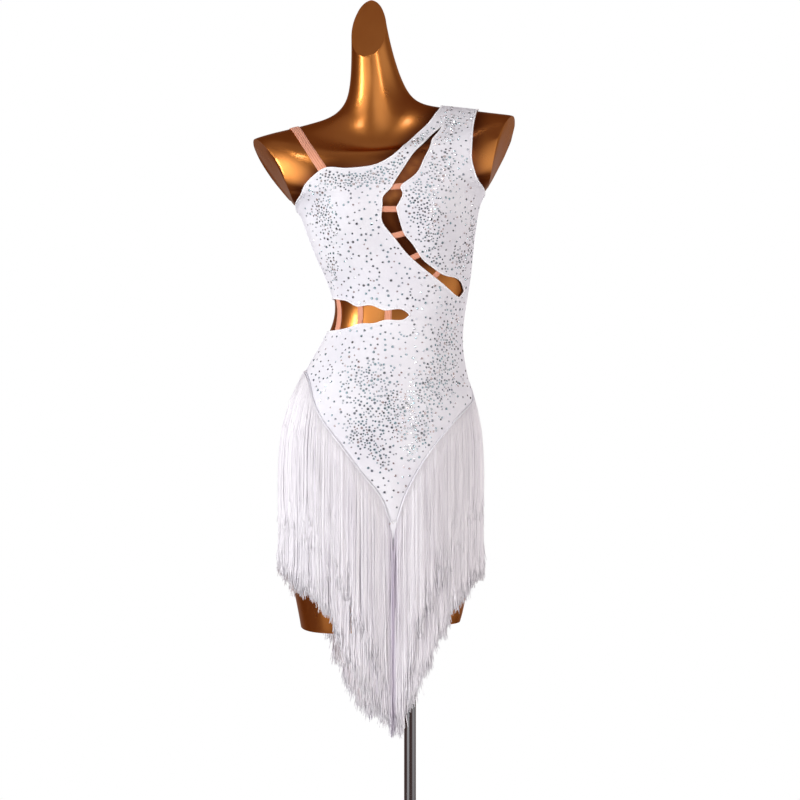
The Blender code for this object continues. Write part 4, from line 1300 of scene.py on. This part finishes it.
    def sway(self, each: Strands) -> ndarray:
        """Sideways places of the strands: gathered in clumps, leaning and softly waved.

        Args:
            each: the strands.

        Returns:
            An array of strands by levels.
        """
        rng, share = each.rng, each.share
        centres = np.cumsum(rng.uniform(*self.clump_width, self.clumps) * self.clump)
        nearest = np.abs(each.at[:, None] - centres).argmin(axis=1)
        pull = (centres[nearest] - each.at) * rng.uniform(*self.pull, self.clumps)[nearest]
        lean = (rng.normal(0, self.lean[0], self.strands)
                + rng.normal(0, self.lean[1], self.clumps)[nearest])
        phase = rng.uniform(0, ROUND, self.strands)[:, None]
        waves = rng.uniform(*self.waves, self.strands)[:, None]
        size = rng.uniform(*self.wave, self.strands) * (each.drop[:, -1] / self.usual)
        curl = rng.normal(0, self.curl_aside * self.curl, self.strands)
        sway = ((pull + lean)[:, None] * share ** self.bunched
                + curl[:, None] * share ** self.curl_power
                + size[:, None] * np.sin(ROUND * waves * share + phase) * share)
        reach, full = self.closing_reach
        inward = each.near_ends(reach, -1.0) * -each.bend
        return sway + self.closing * inward * np.minimum(1, each.drop / full)

    def reach(self, each: Strands) -> ndarray:
        """Outward places of the strands: by layers, with bent tips and a dip at the middle.

        Args:
            each: the strands.

        Returns:
            An array of strands by levels.
        """
        share, drop = each.share, each.drop
        index = np.clip(drop / self.drop_step, 0, self.drops - 1.001)
        under = index.astype(int)
        rest = index - under
        row = np.arange(self.strands)[:, None]
        out = each.fall[row, under] * (1 - rest) + each.fall[row, under + 1] * rest
        last = np.maximum(0, (share - 1 + self.tuck_share) / self.tuck_share)
        out = (out + self.depth * each.layer[:, None] * np.minimum(1, drop / self.depth_drop)
               - self.tuck * last ** 1.5)
        bent = each.rng.normal(0, self.curl, self.strands)[:, None] * share ** self.curl_power
        near, high, tall = self.valley_reach
        dip = self.valley * each.near_ends(near) * np.clip((drop - high) / tall, 0, 1)
        return out + bent - dip

    def strand_mesh(self, each: Strands, line: ndarray, fold: ndarray) -> Mesh:
        """Make three-sided strands along the lines, joined as one mesh.

        Args:
            each: the strands.
            line: points, strands by levels by 3.
            fold: how deep each point lies in the painted shade of the fold at the middle, 0 to 1.

        Returns:
            The mesh, with its tone and painted shade attribute and a UV map: U round a strand and V
            down it in metres.
        """
        rng, drop, side = each.rng, each.drop, np.arange(3)
        count, levels = drop.shape
        turn = (rng.uniform(0, ROUND, count)[:, None] + ROUND / 3 * side)[..., None]
        ring = np.cos(turn) * each.way[:, None] + np.sin(turn) * each.aside[:, None]
        radius = self.radius * rng.uniform(*self.thickness, count)[:, None] * np.ones(levels)
        radius[:, -1] *= self.tip_radius
        spots = line[:, :, None] + radius[:, :, None, None] * ring[:, None]
        first = (np.arange(count) * levels * 3)[:, None, None]
        lower = first + (np.arange(levels - 1) * 3)[None, :, None]
        a, b = lower + side, lower + (side + 1) % 3
        walls = np.stack([a, b, b + 3, a + 3], axis=3).reshape(-1, 4)
        top = first[:, 0] + side[::-1]
        bottom = first[:, 0] + 3 * (levels - 1) + side
        mesh = bpy.data.meshes.new("mesh")
        mesh.from_pydata(spots.reshape(-1, 3).tolist(), [],
                         walls.tolist() + top.tolist() + bottom.tolist())
        own, inmost_painted_shade, fold_painted_shade = self.tints
        lost, power = self.tip_painted_light
        # each strand's own tone, with painted shade on the inmost strands
        tint = own * rng.beta(*self.spread, count) + inmost_painted_shade * (1 - each.layer) ** 2
        # painted light pales the tips
        tint = tint[:, None] * (1 - lost * (drop / drop[:, -1:]) ** power)
        # painted shade in the fold at the middle
        tint = np.clip(tint + fold_painted_shade * fold, 0, 1)
        shade = mesh.attributes.new("tint", "FLOAT", "POINT")
        shade.data.foreach_set("value", np.repeat(tint.ravel(), 3).astype(np.float32))
        corner = np.empty(len(mesh.loops), int)
        mesh.loops.foreach_get("vertex_index", corner)
        around = np.stack([np.tile(side / 3, count * levels), np.repeat(drop.ravel(), 3)], axis=1)
        mesh.uv_layers.new(name="UVMap").data.foreach_set("uv", around[corner].ravel())
        mesh.polygons.foreach_set("use_smooth", np.arange(len(mesh.polygons)) < len(walls))
        return mesh


# ---------------------------------------------------------------- crystals
@dataclass(frozen=True)
class Cluster:
    """A soft-edged oval patch of stones."""

    side: Side
    centre: tuple
    spread: tuple
    turn: float
    count: int
    dark: float


# Columns: side, centre x and z as seen, half-widths, turn in degrees, stones, darkness.
CLUSTERS = tuple(Cluster(*row) for row in (
    (F, (-0.100, 1.268), (0.040, 0.012), 2, 210, 0.45),
    (F, (-0.058, 1.270), (0.030, 0.014), 8, 150, 0.55),
    (F, (-0.020, 1.294), (0.016, 0.013), 40, 60, 0.45),
    (F, (0.016, 1.340), (0.010, 0.022), -38, 50, 0.40),
    (F, (0.062, 1.362), (0.018, 0.024), -20, 60, 0.40),
    (F, (-0.132, 1.214), (0.018, 0.044), 14, 190, 0.30),
    (F, (-0.122, 1.140), (0.010, 0.030), 10, 60, 0.40),
    (F, (0.024, 1.215), (0.024, 0.060), 20, 220, 0.70),
    (F, (0.046, 1.280), (0.030, 0.060), -15, 150, 0.55),
    (F, (0.040, 1.130), (0.020, 0.044), 30, 90, 0.60),
    (F, (0.078, 1.150), (0.012, 0.020), 0, 46, 0.85),
    (F, (0.098, 1.190), (0.008, 0.050), 0, 50, 0.45),
    (F, (-0.060, 0.955), (0.050, 0.040), -25, 190, 0.45),
    (F, (-0.074, 0.880), (0.026, 0.034), 28, 170, 0.55),
    (F, (-0.022, 0.905), (0.040, 0.036), -30, 260, 0.60),
    (F, (0.036, 0.950), (0.034, 0.044), -38, 230, 0.65),
    (F, (0.054, 1.020), (0.022, 0.040), -10, 110, 0.80),
    (F, (0.014, 0.874), (0.018, 0.040), -28, 110, 0.50),
    (F, (-0.050, 0.846), (0.012, 0.030), 30, 60, 0.50),
    (B, (-0.080, 1.268), (0.050, 0.012), 6, 200, 0.45),
    (B, (0.020, 1.330), (0.014, 0.040), 38, 120, 0.45),
    (B, (0.074, 1.340), (0.018, 0.040), -10, 90, 0.45),
    (B, (-0.030, 1.180), (0.050, 0.040), 20, 150, 0.60),
    (B, (-0.050, 0.920), (0.050, 0.050), -25, 240, 0.55),
    (B, (0.000, 0.890), (0.040, 0.050), 30, 240, 0.55),
    (B, (0.040, 1.000), (0.040, 0.040), 0, 120, 0.60),
))


@dataclass
class Crystals:
    """Round cut stones set on the cloth in clusters, curls and a loose scatter."""

    cloths: list[Object]
    edges: Edges
    seed: int = 41
    sizes: tuple = (0.0028, 0.0036, 0.0045)
    gap: float = 0.0003                     # least gap between two stones
    margin: float = 0.0042                  # cloth kept free along its outline
    facing: float = 0.12                    # least cosine between the cloth's way and the view
    cell: float = 0.009                     # of the grid that finds neighbours
    fullness: float = 2.0                   # tries for each stone of a cluster's count
    cluster_odds: tuple = (0.45, 0.35, 0.20)
    scatter_odds: tuple = (0.3, 0.45, 0.25)
    scatter_field: tuple = ((-0.17, 0.12), (0.76, 1.39))
    scatter_count: int = 3400
    scatter_room: float = 0.0072
    scatter_dark: float = 0.6
    curl_field: tuple = ((-0.15, 0.10), (0.93, 1.30))
    curl_count: int = 26
    curl_room: float = 0.036
    curl_radius: tuple = (0.012, 0.022)
    curl_sweep: tuple = (2.4, 4.2)
    curl_step: float = 0.0056
    curl_dark: float = 0.85
    colours: tuple = ((0.50, 0.58, 0.64), (0.20, 0.36, 0.42), (0.16, 0.20, 0.26),
                      (0.56, 0.46, 0.46), (0.06, 0.08, 0.10))
    light_odds: tuple = (1.3, 0.9, 0.0, 0.35, 0.0)      # of each colour where it is light
    dark_odds: tuple = (0.0, 0.9, 0.9, 0.35, 0.7)       # and dark
    shades: tuple = (0.8, 1.15)
    stones: list = field(default_factory=list)
    grid: dict = field(default_factory=dict)

    def __post_init__(self) -> None:
        """Open the random source and make search trees of the cloth and of its outline."""
        self.rng = np.random.default_rng(self.seed)
        joined = bmesh.new()
        for cloth in self.cloths:
            joined.from_mesh(cloth.data)
        self.surface = Surface(joined)
        joined.free()
        self.outline = near_tree(np.concatenate([
            run[:, :3] for group in (self.edges.free, self.edges.sewn)
            for runs in group.values() for run in runs]))

    def put(self, x: float, z: float, side: Side, size: float, dark: float,
            room: float = 0.0) -> None:
        """Set one stone if it finds cloth and room.

        Args:
            x: place across, as seen.
            z: height.
            side: face of the dress.
            size: the stone's width.
            dark: how dark it is, 0 to 1.
            room: least distance to its neighbours' centres.
        """
        seen = self.surface.seen(x, z, side)
        if seen is None or seen[1].y * side.value < self.facing:
            return
        hit, normal = seen
        if self.outline.find(hit)[2] < self.margin:
            return
        cell = tuple(math.floor(c / self.cell) for c in hit)
        for step in product((-1, 0, 1), repeat=3):
            for other, wide in self.grid.get(tuple(map(sum, zip(cell, step))), ()):
                if (other - hit).length < max(room, (wide + size) / 2 + self.gap):
                    return
        self.grid.setdefault(cell, []).append((hit, size))
        self.stones.append((hit, normal, size, dark))

    def some_size(self, odds: tuple) -> float:
        """One of the sizes, by these odds."""
        return self.sizes[self.rng.choice(3, p=odds)]

    def lay_out(self) -> None:
        """Place all the stones: curls, clusters and the scatter."""
        for side in Side:
            centres = []
            while len(centres) < self.curl_count:
                x, z = (self.rng.uniform(*span) for span in self.curl_field)
                if all(math.hypot(x - u, z - v) > self.curl_room for u, v in centres):
                    centres.append((x, z))
                    self.curl(x, z, side)
        for cluster in CLUSTERS:
            turn = math.radians(cluster.turn)
            for _ in range(int(cluster.count * self.fullness)):
                a, b = self.rng.normal(0, 0.5, 2) * cluster.spread
                size = self.some_size(self.cluster_odds)
                self.put(cluster.centre[0] + a * math.cos(turn) - b * math.sin(turn),
                         cluster.centre[1] + a * math.sin(turn) + b * math.cos(turn),
                         cluster.side, size, cluster.dark)
        for side in Side:
            for _ in range(self.scatter_count):
                x, z = (self.rng.uniform(*span) for span in self.scatter_field)
                size = self.some_size(self.scatter_odds)
                self.put(x, z, side, size, self.scatter_dark, self.scatter_room)

    def curl(self, x: float, z: float, side: Side) -> None:
        """Set one dotted curl that winds in to its middle.

        Args:
            x: centre across, as seen.
            z: centre height.
            side: face of the dress.
        """
        radius, start = self.rng.uniform(*self.curl_radius), self.rng.uniform(0, ROUND)
        sweep = self.rng.uniform(*self.curl_sweep) * self.rng.choice((-1, 1))
        steps = max(5, int(abs(sweep) * radius * 0.75 / self.curl_step))
        for i in range(steps + 1):
            share = i / steps
            angle, reach = start + sweep * share, radius * (1 - 0.5 * share)
            self.put(x + reach * math.cos(angle), z + reach * math.sin(angle), side,
                     self.sizes[1] * (1.1 - 0.3 * share), self.curl_dark)

    def stone(self) -> BMesh:
        """Shape one stone of unit width: a low crown of eight facets with a flat table.

        Returns:
            The stone.
        """
        shape = bmesh.new()
        bmesh.ops.create_cone(shape, cap_ends=True, segments=8, radius1=0.5, radius2=0.27,
                              depth=0.26)
        bmesh.ops.translate(shape, verts=shape.verts, vec=(0, 0, 0.13))
        return shape

    def build(self, finish: Material) -> None:
        """Make the stones as one joined mesh for each face of the dress.

        Args:
            finish: their material.
        """
        self.lay_out()
        for side in Side:
            chosen = [s for s in self.stones if s[1].y * side.value > 0]
            places, outs, sizes, _ = (np.array(column) for column in zip(*chosen))
            spin = self.rng.uniform(0, ROUND, len(chosen))[:, None]
            level = unit(np.cross(outs, (0.0, 0.0, 1.0)))
            first = level * np.cos(spin) + np.cross(outs, level) * np.sin(spin)
            base = self.stone()
            each = len(base.verts)
            axes = np.stack([first, np.cross(outs, first), outs], axis=2)
            mesh = copies(base, places, axes, sizes)
            colours = []
            for *_, dark in chosen:
                odds = np.array(self.light_odds) * (1 - dark) + np.array(self.dark_odds) * dark
                colours.append(np.array(self.colours)[self.rng.choice(5, p=odds / odds.sum())]
                               * self.rng.uniform(*self.shades))
            rows = np.column_stack([colours, np.ones(len(chosen))]).repeat(each, axis=0)
            paint = mesh.color_attributes.new("stone", "FLOAT_COLOR", "POINT")
            paint.data.foreach_set("color", rows.astype(np.float32).ravel())
            finished(f"crystals_{side.name.lower()}", mesh, finish)
            LOG.info("%s: %d stones", side.name, len(chosen))


# ---------------------------------------------------------------- stand
@dataclass
class Stand:
    """Chrome base plate, pole and socket, turned finely on the solids' sizes."""

    sides: int = 96
    edge: float = 0.0015
    hub_radius: float = 0.022
    base_height: float = 0.008
    cove: float = 0.004
    quarter: tuple = (0, math.pi / 6, math.pi / 3, math.pi / 2)
    sharp: float = math.radians(40)

    def turned(self, name: str, node: str, profile: list[tuple[float, float]],
               finish: Material) -> None:
        """Spin a profile round the pole's axis.

        Args:
            name: name of the piece.
            node: CAD node that it stands for.
            profile: (radius, z) pairs from the bottom to the top, on the axis at both ends.
            finish: its material.
        """
        shape = bmesh.new()
        corners = [shape.verts.new((radius, 0, z)) for radius, z in dict.fromkeys(profile)]
        lines = [shape.edges.new(pair) for pair in zip(corners, corners[1:])]
        bmesh.ops.spin(shape, geom=corners + lines, cent=(0, 0, 0), axis=(0, 0, 1), angle=ROUND,
                       steps=self.sides, use_merge=True)
        bmesh.ops.remove_doubles(shape, verts=shape.verts, dist=MERGE)
        bmesh.ops.recalc_face_normals(shape, faces=shape.faces)
        if shape.calc_volume(signed=True) < 0:
            bmesh.ops.reverse_faces(shape, faces=shape.faces)
        mesh = to_mesh(shape)
        mesh.set_sharp_from_angle(angle=self.sharp)
        finished(name, mesh, finish, node)

    def build(self, finish: Material) -> None:
        """Make the three pieces.

        Args:
            finish: their material.
        """
        edge, hub, flat = self.edge, self.hub_radius, self.base_height
        _, (radius, _, top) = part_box("stand_base")
        rim = [(radius - edge + edge * math.sin(a), edge - edge * math.cos(a))
               for a in self.quarter]
        shoulder = [(r, flat - z) for r, z in reversed(rim)]
        cove = [(hub + self.cove * (1 - math.sin(a)), flat + self.cove * (1 - math.cos(a)))
                for a in self.quarter]
        cap = [(hub, top - edge), (hub - edge * 0.3, top - edge * 0.3), (hub - edge, top), (0, top)]
        self.turned("chrome_base", "stand_base", [(0, 0), *rim, *shoulder, *cove, *cap], finish)
        for name, rounding in (("pole", 0.0), ("socket", edge)):
            (_, _, low), (radius, _, top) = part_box("stand_" + name)
            self.turned("chrome_" + name, "stand_" + name,
                        [(0, low), (radius - rounding, low), (radius, low + rounding),
                         (radius, top), (0, top)], finish)


# ---------------------------------------------------------------- studio
class Rays(Enum):
    """Which faces a lamp lights."""

    BOTH = 0
    MATT = 1
    GLOSS = 2


@dataclass(frozen=True)
class Lamp:
    """One soft area light."""

    name: str
    rays: Rays
    power: float
    place: tuple
    aim: float
    size: tuple
    colour: tuple

    def build(self) -> None:
        """Make the light; it looks at the object's axis at the height of its aim."""
        data = bpy.data.lights.new(self.name, "AREA")
        data.shape = "RECTANGLE"
        data.size, data.size_y = self.size
        data.energy = self.power
        data.color = self.colour
        made = placed(self.name, data)
        made.location = self.place
        made.visible_glossy = self.rays is not Rays.MATT
        made.visible_diffuse = self.rays is not Rays.GLOSS
        toward = Vector((0, 0, self.aim)) - Vector(self.place)
        made.rotation_euler = toward.to_track_quat("-Z", "Y").to_euler()


# Columns: name, faces it lights, power in watts, place, height it aims at, size, colour.
LAMPS = tuple(Lamp(*row) for row in (
    ("key", Rays.MATT, 51, (-2.30, -2.00, 1.60), 1.10, (0.8, 2.2), (1.0, 0.99, 0.98)),
    ("streak", Rays.GLOSS, 26, (-2.86, -1.05, 2.15), 1.50, (0.34, 1.0), (1.0, 0.97, 0.93)),
    ("wide_left", Rays.MATT, 28, (-2.50, -1.60, 0.75), 0.7, (1.2, 1.6), (0.96, 0.97, 1.0)),
    ("fill", Rays.GLOSS, 18, (1.45, -2.60, 1.60), 1.15, (0.22, 2.2), (1.0, 0.93, 0.86)),
    ("wide_right", Rays.MATT, 45, (2.40, -1.60, 1.00), 0.9, (1.2, 1.8), (1.0, 0.94, 0.905)),
    ("front", Rays.MATT, 3, (0.35, -4.2, 0.95), 0.9, (1.0, 1.2), (1.0, 0.97, 1.0)),
    ("high_left", Rays.BOTH, 5, (-1.58, -1.45, 3.55), 1.3, (0.30, 0.36), (1.0, 0.97, 0.93)),
    ("high_right", Rays.BOTH, 4, (0.50, -0.85, 3.90), 1.3, (0.26, 0.36), (1.0, 0.97, 0.93)),
    ("back_left", Rays.MATT, 24, (-2.2, 2.0, 1.5), 0.9, (0.22, 1.8), (1.0, 0.98, 0.96)),
    ("back_right", Rays.MATT, 28, (1.6, 2.6, 1.5), 0.9, (0.22, 1.8), (0.97, 0.98, 1.0)),
    ("back_high", Rays.MATT, 36, (0.4, 3.6, 2.2), 0.9, (1.4, 0.8), (0.97, 0.98, 1.0)),
))

# Bright patches of the mirrored room; the level ones end above and below.
# Columns: direction, cosine at the edge, cosine where it is full, brightness.
PATCHES = (
    ((-0.616, -0.788, 0.0), 0.86, 0.97, 0.90),
    ((0.97, -0.26, 0.0), 0.72, 0.97, 0.62),
    ((0.30, 0.95, 0.0), 0.40, 0.95, 0.17),
    ((-0.80, -0.50, 0.34), 0.925, 0.985, 1.0),
    ((-0.39, -0.03, 0.92), 0.90, 0.97, 0.12),
    ((0.10, -0.870, 0.485), 0.91, 0.975, 0.68),
)


@dataclass
class Studio:
    """Pale floor, plain soft light and the camera."""

    floor_radius: float = 1.3
    floor_drop: float = 0.0002
    eye: tuple = (-0.016, -3.0, 0.928)
    lens: float = 84.4
    sensor: float = 36.0
    room: tuple = (0.17, 0.095, 0.08)
    patch: tuple = (1.5, 1.46, 1.38)
    cloth_light: tuple = (0.30, 0.295, 0.31)
    backdrop: tuple = (1.0, 1.0, 1.0)
    level_ends: tuple = ((0.62, 0.22), (-0.42, -0.08))  # of the level patches: dark, full

    def build(self, finish: Material) -> None:
        """Make the floor, the lights, the world and the camera.

        Args:
            finish: the floor's material.
        """
        shape = bmesh.new()
        bmesh.ops.create_circle(shape, cap_ends=True, segments=96, radius=self.floor_radius)
        floor = placed("studio_floor", to_mesh(shape, smooth=False))
        floor.data.materials.append(finish)
        floor.location.z = -self.floor_drop
        for lamp in LAMPS:
            lamp.build()
        bpy.context.scene.world = self.world()
        camera = placed("camera", bpy.data.cameras.new("camera"))
        camera.data.lens, camera.data.sensor_width = self.lens, self.sensor
        camera.location = self.eye
        camera.rotation_euler = (math.pi / 2, 0, 0)
        bpy.context.scene.camera = camera

    def world(self) -> World:
        """White backdrop, an even pale light on matt cloth and a darker room in glossy faces.

        Returns:
            The world.
        """
        nodes = Nodes(bpy.data.worlds.new("studio"))
        place, soft = nodes.place("Generated"), "SMOOTHSTEP"
        height = nodes.add("SeparateXYZ", {0: place}, "Z")
        level = nodes.value("MULTIPLY", *(nodes.spread(height, start=dark, end=light, way=soft)
                                          for dark, light in self.level_ends))
        share = 0.0
        for toward, edge, full, power in PATCHES:
            facing = nodes.add("VectorMath", {0: place, 1: toward}, "Value",
                               operation="DOT_PRODUCT")
            light = nodes.spread(facing, 0.0, power, edge, full, soft)
            if toward[2] == 0:
                light = nodes.value("MULTIPLY", light, level)
            share = nodes.value("MAXIMUM", share, light)
        plain, white, mirrored = (
            nodes.add("Background", {"Color": colour}) for colour in
            (self.cloth_light, self.backdrop, nodes.blend(share, self.room, self.patch)))
        lit = nodes.add("MixShader", {0: nodes.add("LightPath", {}, "Is Glossy Ray"),
                                      1: plain, 2: mirrored})
        both = nodes.add("MixShader", {0: nodes.add("LightPath", {}, "Is Camera Ray"),
                                       1: lit, 2: white})
        nodes.put(nodes.tree.nodes["World Output"].inputs["Surface"], both)
        return nodes.owner


# ---------------------------------------------------------------- whole object
BANDS = ("hip_band_left", "hip_band_right")
ELASTICS = ("shoulder_elastic", *(f"keyhole_elastic_{n}" for n in range(1, 6)),
            *(f"waist_elastic_{n}" for n in range(1, 4)))


def tape_runs(pair: list[list[ndarray]], gap: float) -> list[ndarray]:
    """The long runs of the left and right band from the front, met at the middle at both ends.

    Args:
        pair: the left band's runs and the right band's runs.
        gap: distance left open at the middle.

    Returns:
        The left run and the right run.
    """
    longest = [max(runs, key=len) for runs in pair]
    longest = [run if run[0, 1] < run[-1, 1] else run[::-1] for run in longest]
    for end in (0, -1):
        tips = [run[end] for run in longest]
        middle = (tips[0] + tips[1]) / 2
        for number, tip in enumerate(tips):
            run = longest[number]
            run = run[np.linalg.norm((run - middle)[:, :2], axis=1) > gap / 2]
            apart = np.linalg.norm((tip - middle)[:3])
            if apart > gap / 2:
                parts = [(middle + (tip - middle) / apart * gap / 2)[None], run]
                run = np.concatenate(parts if end == 0 else parts[::-1])
            longest[number] = run
    return longest


def main() -> None:
    """Build the whole scene."""
    logging.basicConfig(level=logging.INFO, format="%(message)s")
    bpy.context.scene.view_settings.view_transform = "Standard"
    satin, rayon, elastic = StretchSatin().build(), TwistedRayon().build(), RibbedElastic().build()
    form = DisplayForm()
    surface = form.build(GoldPlating().build())
    sheets = [ClothSheet("front_panel", (0.42, 0.68), 0.150),
              ClothSheet("back_panel", (0.42, 0.68), 0.160),
              *(ClothSheet(band, (0.44, 0.12), 0.030) for band in BANDS)]
    for sheet in sheets:
        sheet.build(surface, satin)
    edges = Edges(sheets)
    edges.sort()
    # paint shadow on the gold beside the panels' open edges
    form.shade(edges.free["front_panel"] + edges.free["back_panel"])
    edges.press(surface)
    # a paler copy of the satin paints the highlight of the bound edges
    painted_highlight_satin = StretchSatin("satin_binding", (0.95, 0.945, 0.96), (0.90, 0.89, 0.92)).build()
    edges.build(satin, painted_highlight_satin, StitchThread().build())
    for name in ELASTICS:
        Strip(name, name + "_tape", Slot.ELASTIC).build(surface, elastic)
    Strip("crotch_gusset", "gusset_cloth", Slot.CLOTH, lap=0.005).build(surface, satin)
    lower = tape_runs([edges.free[band] for band in BANDS], 0.0080)
    upper = tape_runs([edges.sewn[band] for band in BANDS], 0.0120)
    for number, side in enumerate(("left", "right")):
        FringeTier(f"fringe_lower_{side}", lower[number], 31 + number, 0.0028, strands=2840,
                   depth=0.0024, pull=(0.0, 0.25), closing=0.0062,
                   valley=0.007).build(surface, rayon)
        FringeTier(f"fringe_upper_{side}", upper[number], 51 + number, 0.0042, depth=0.0020,
                   ragged=0.0100, closing=0.0025, tuck=0.0030,
                   valley=0.010).build(surface, rayon)
    Crystals([sheet.built for sheet in sheets], edges).build(CutCrystal().build())
    Stand().build(PolishedChrome().build())
    Studio().build(PaleFloor().build())


if __name__ == "__main__":
    main()
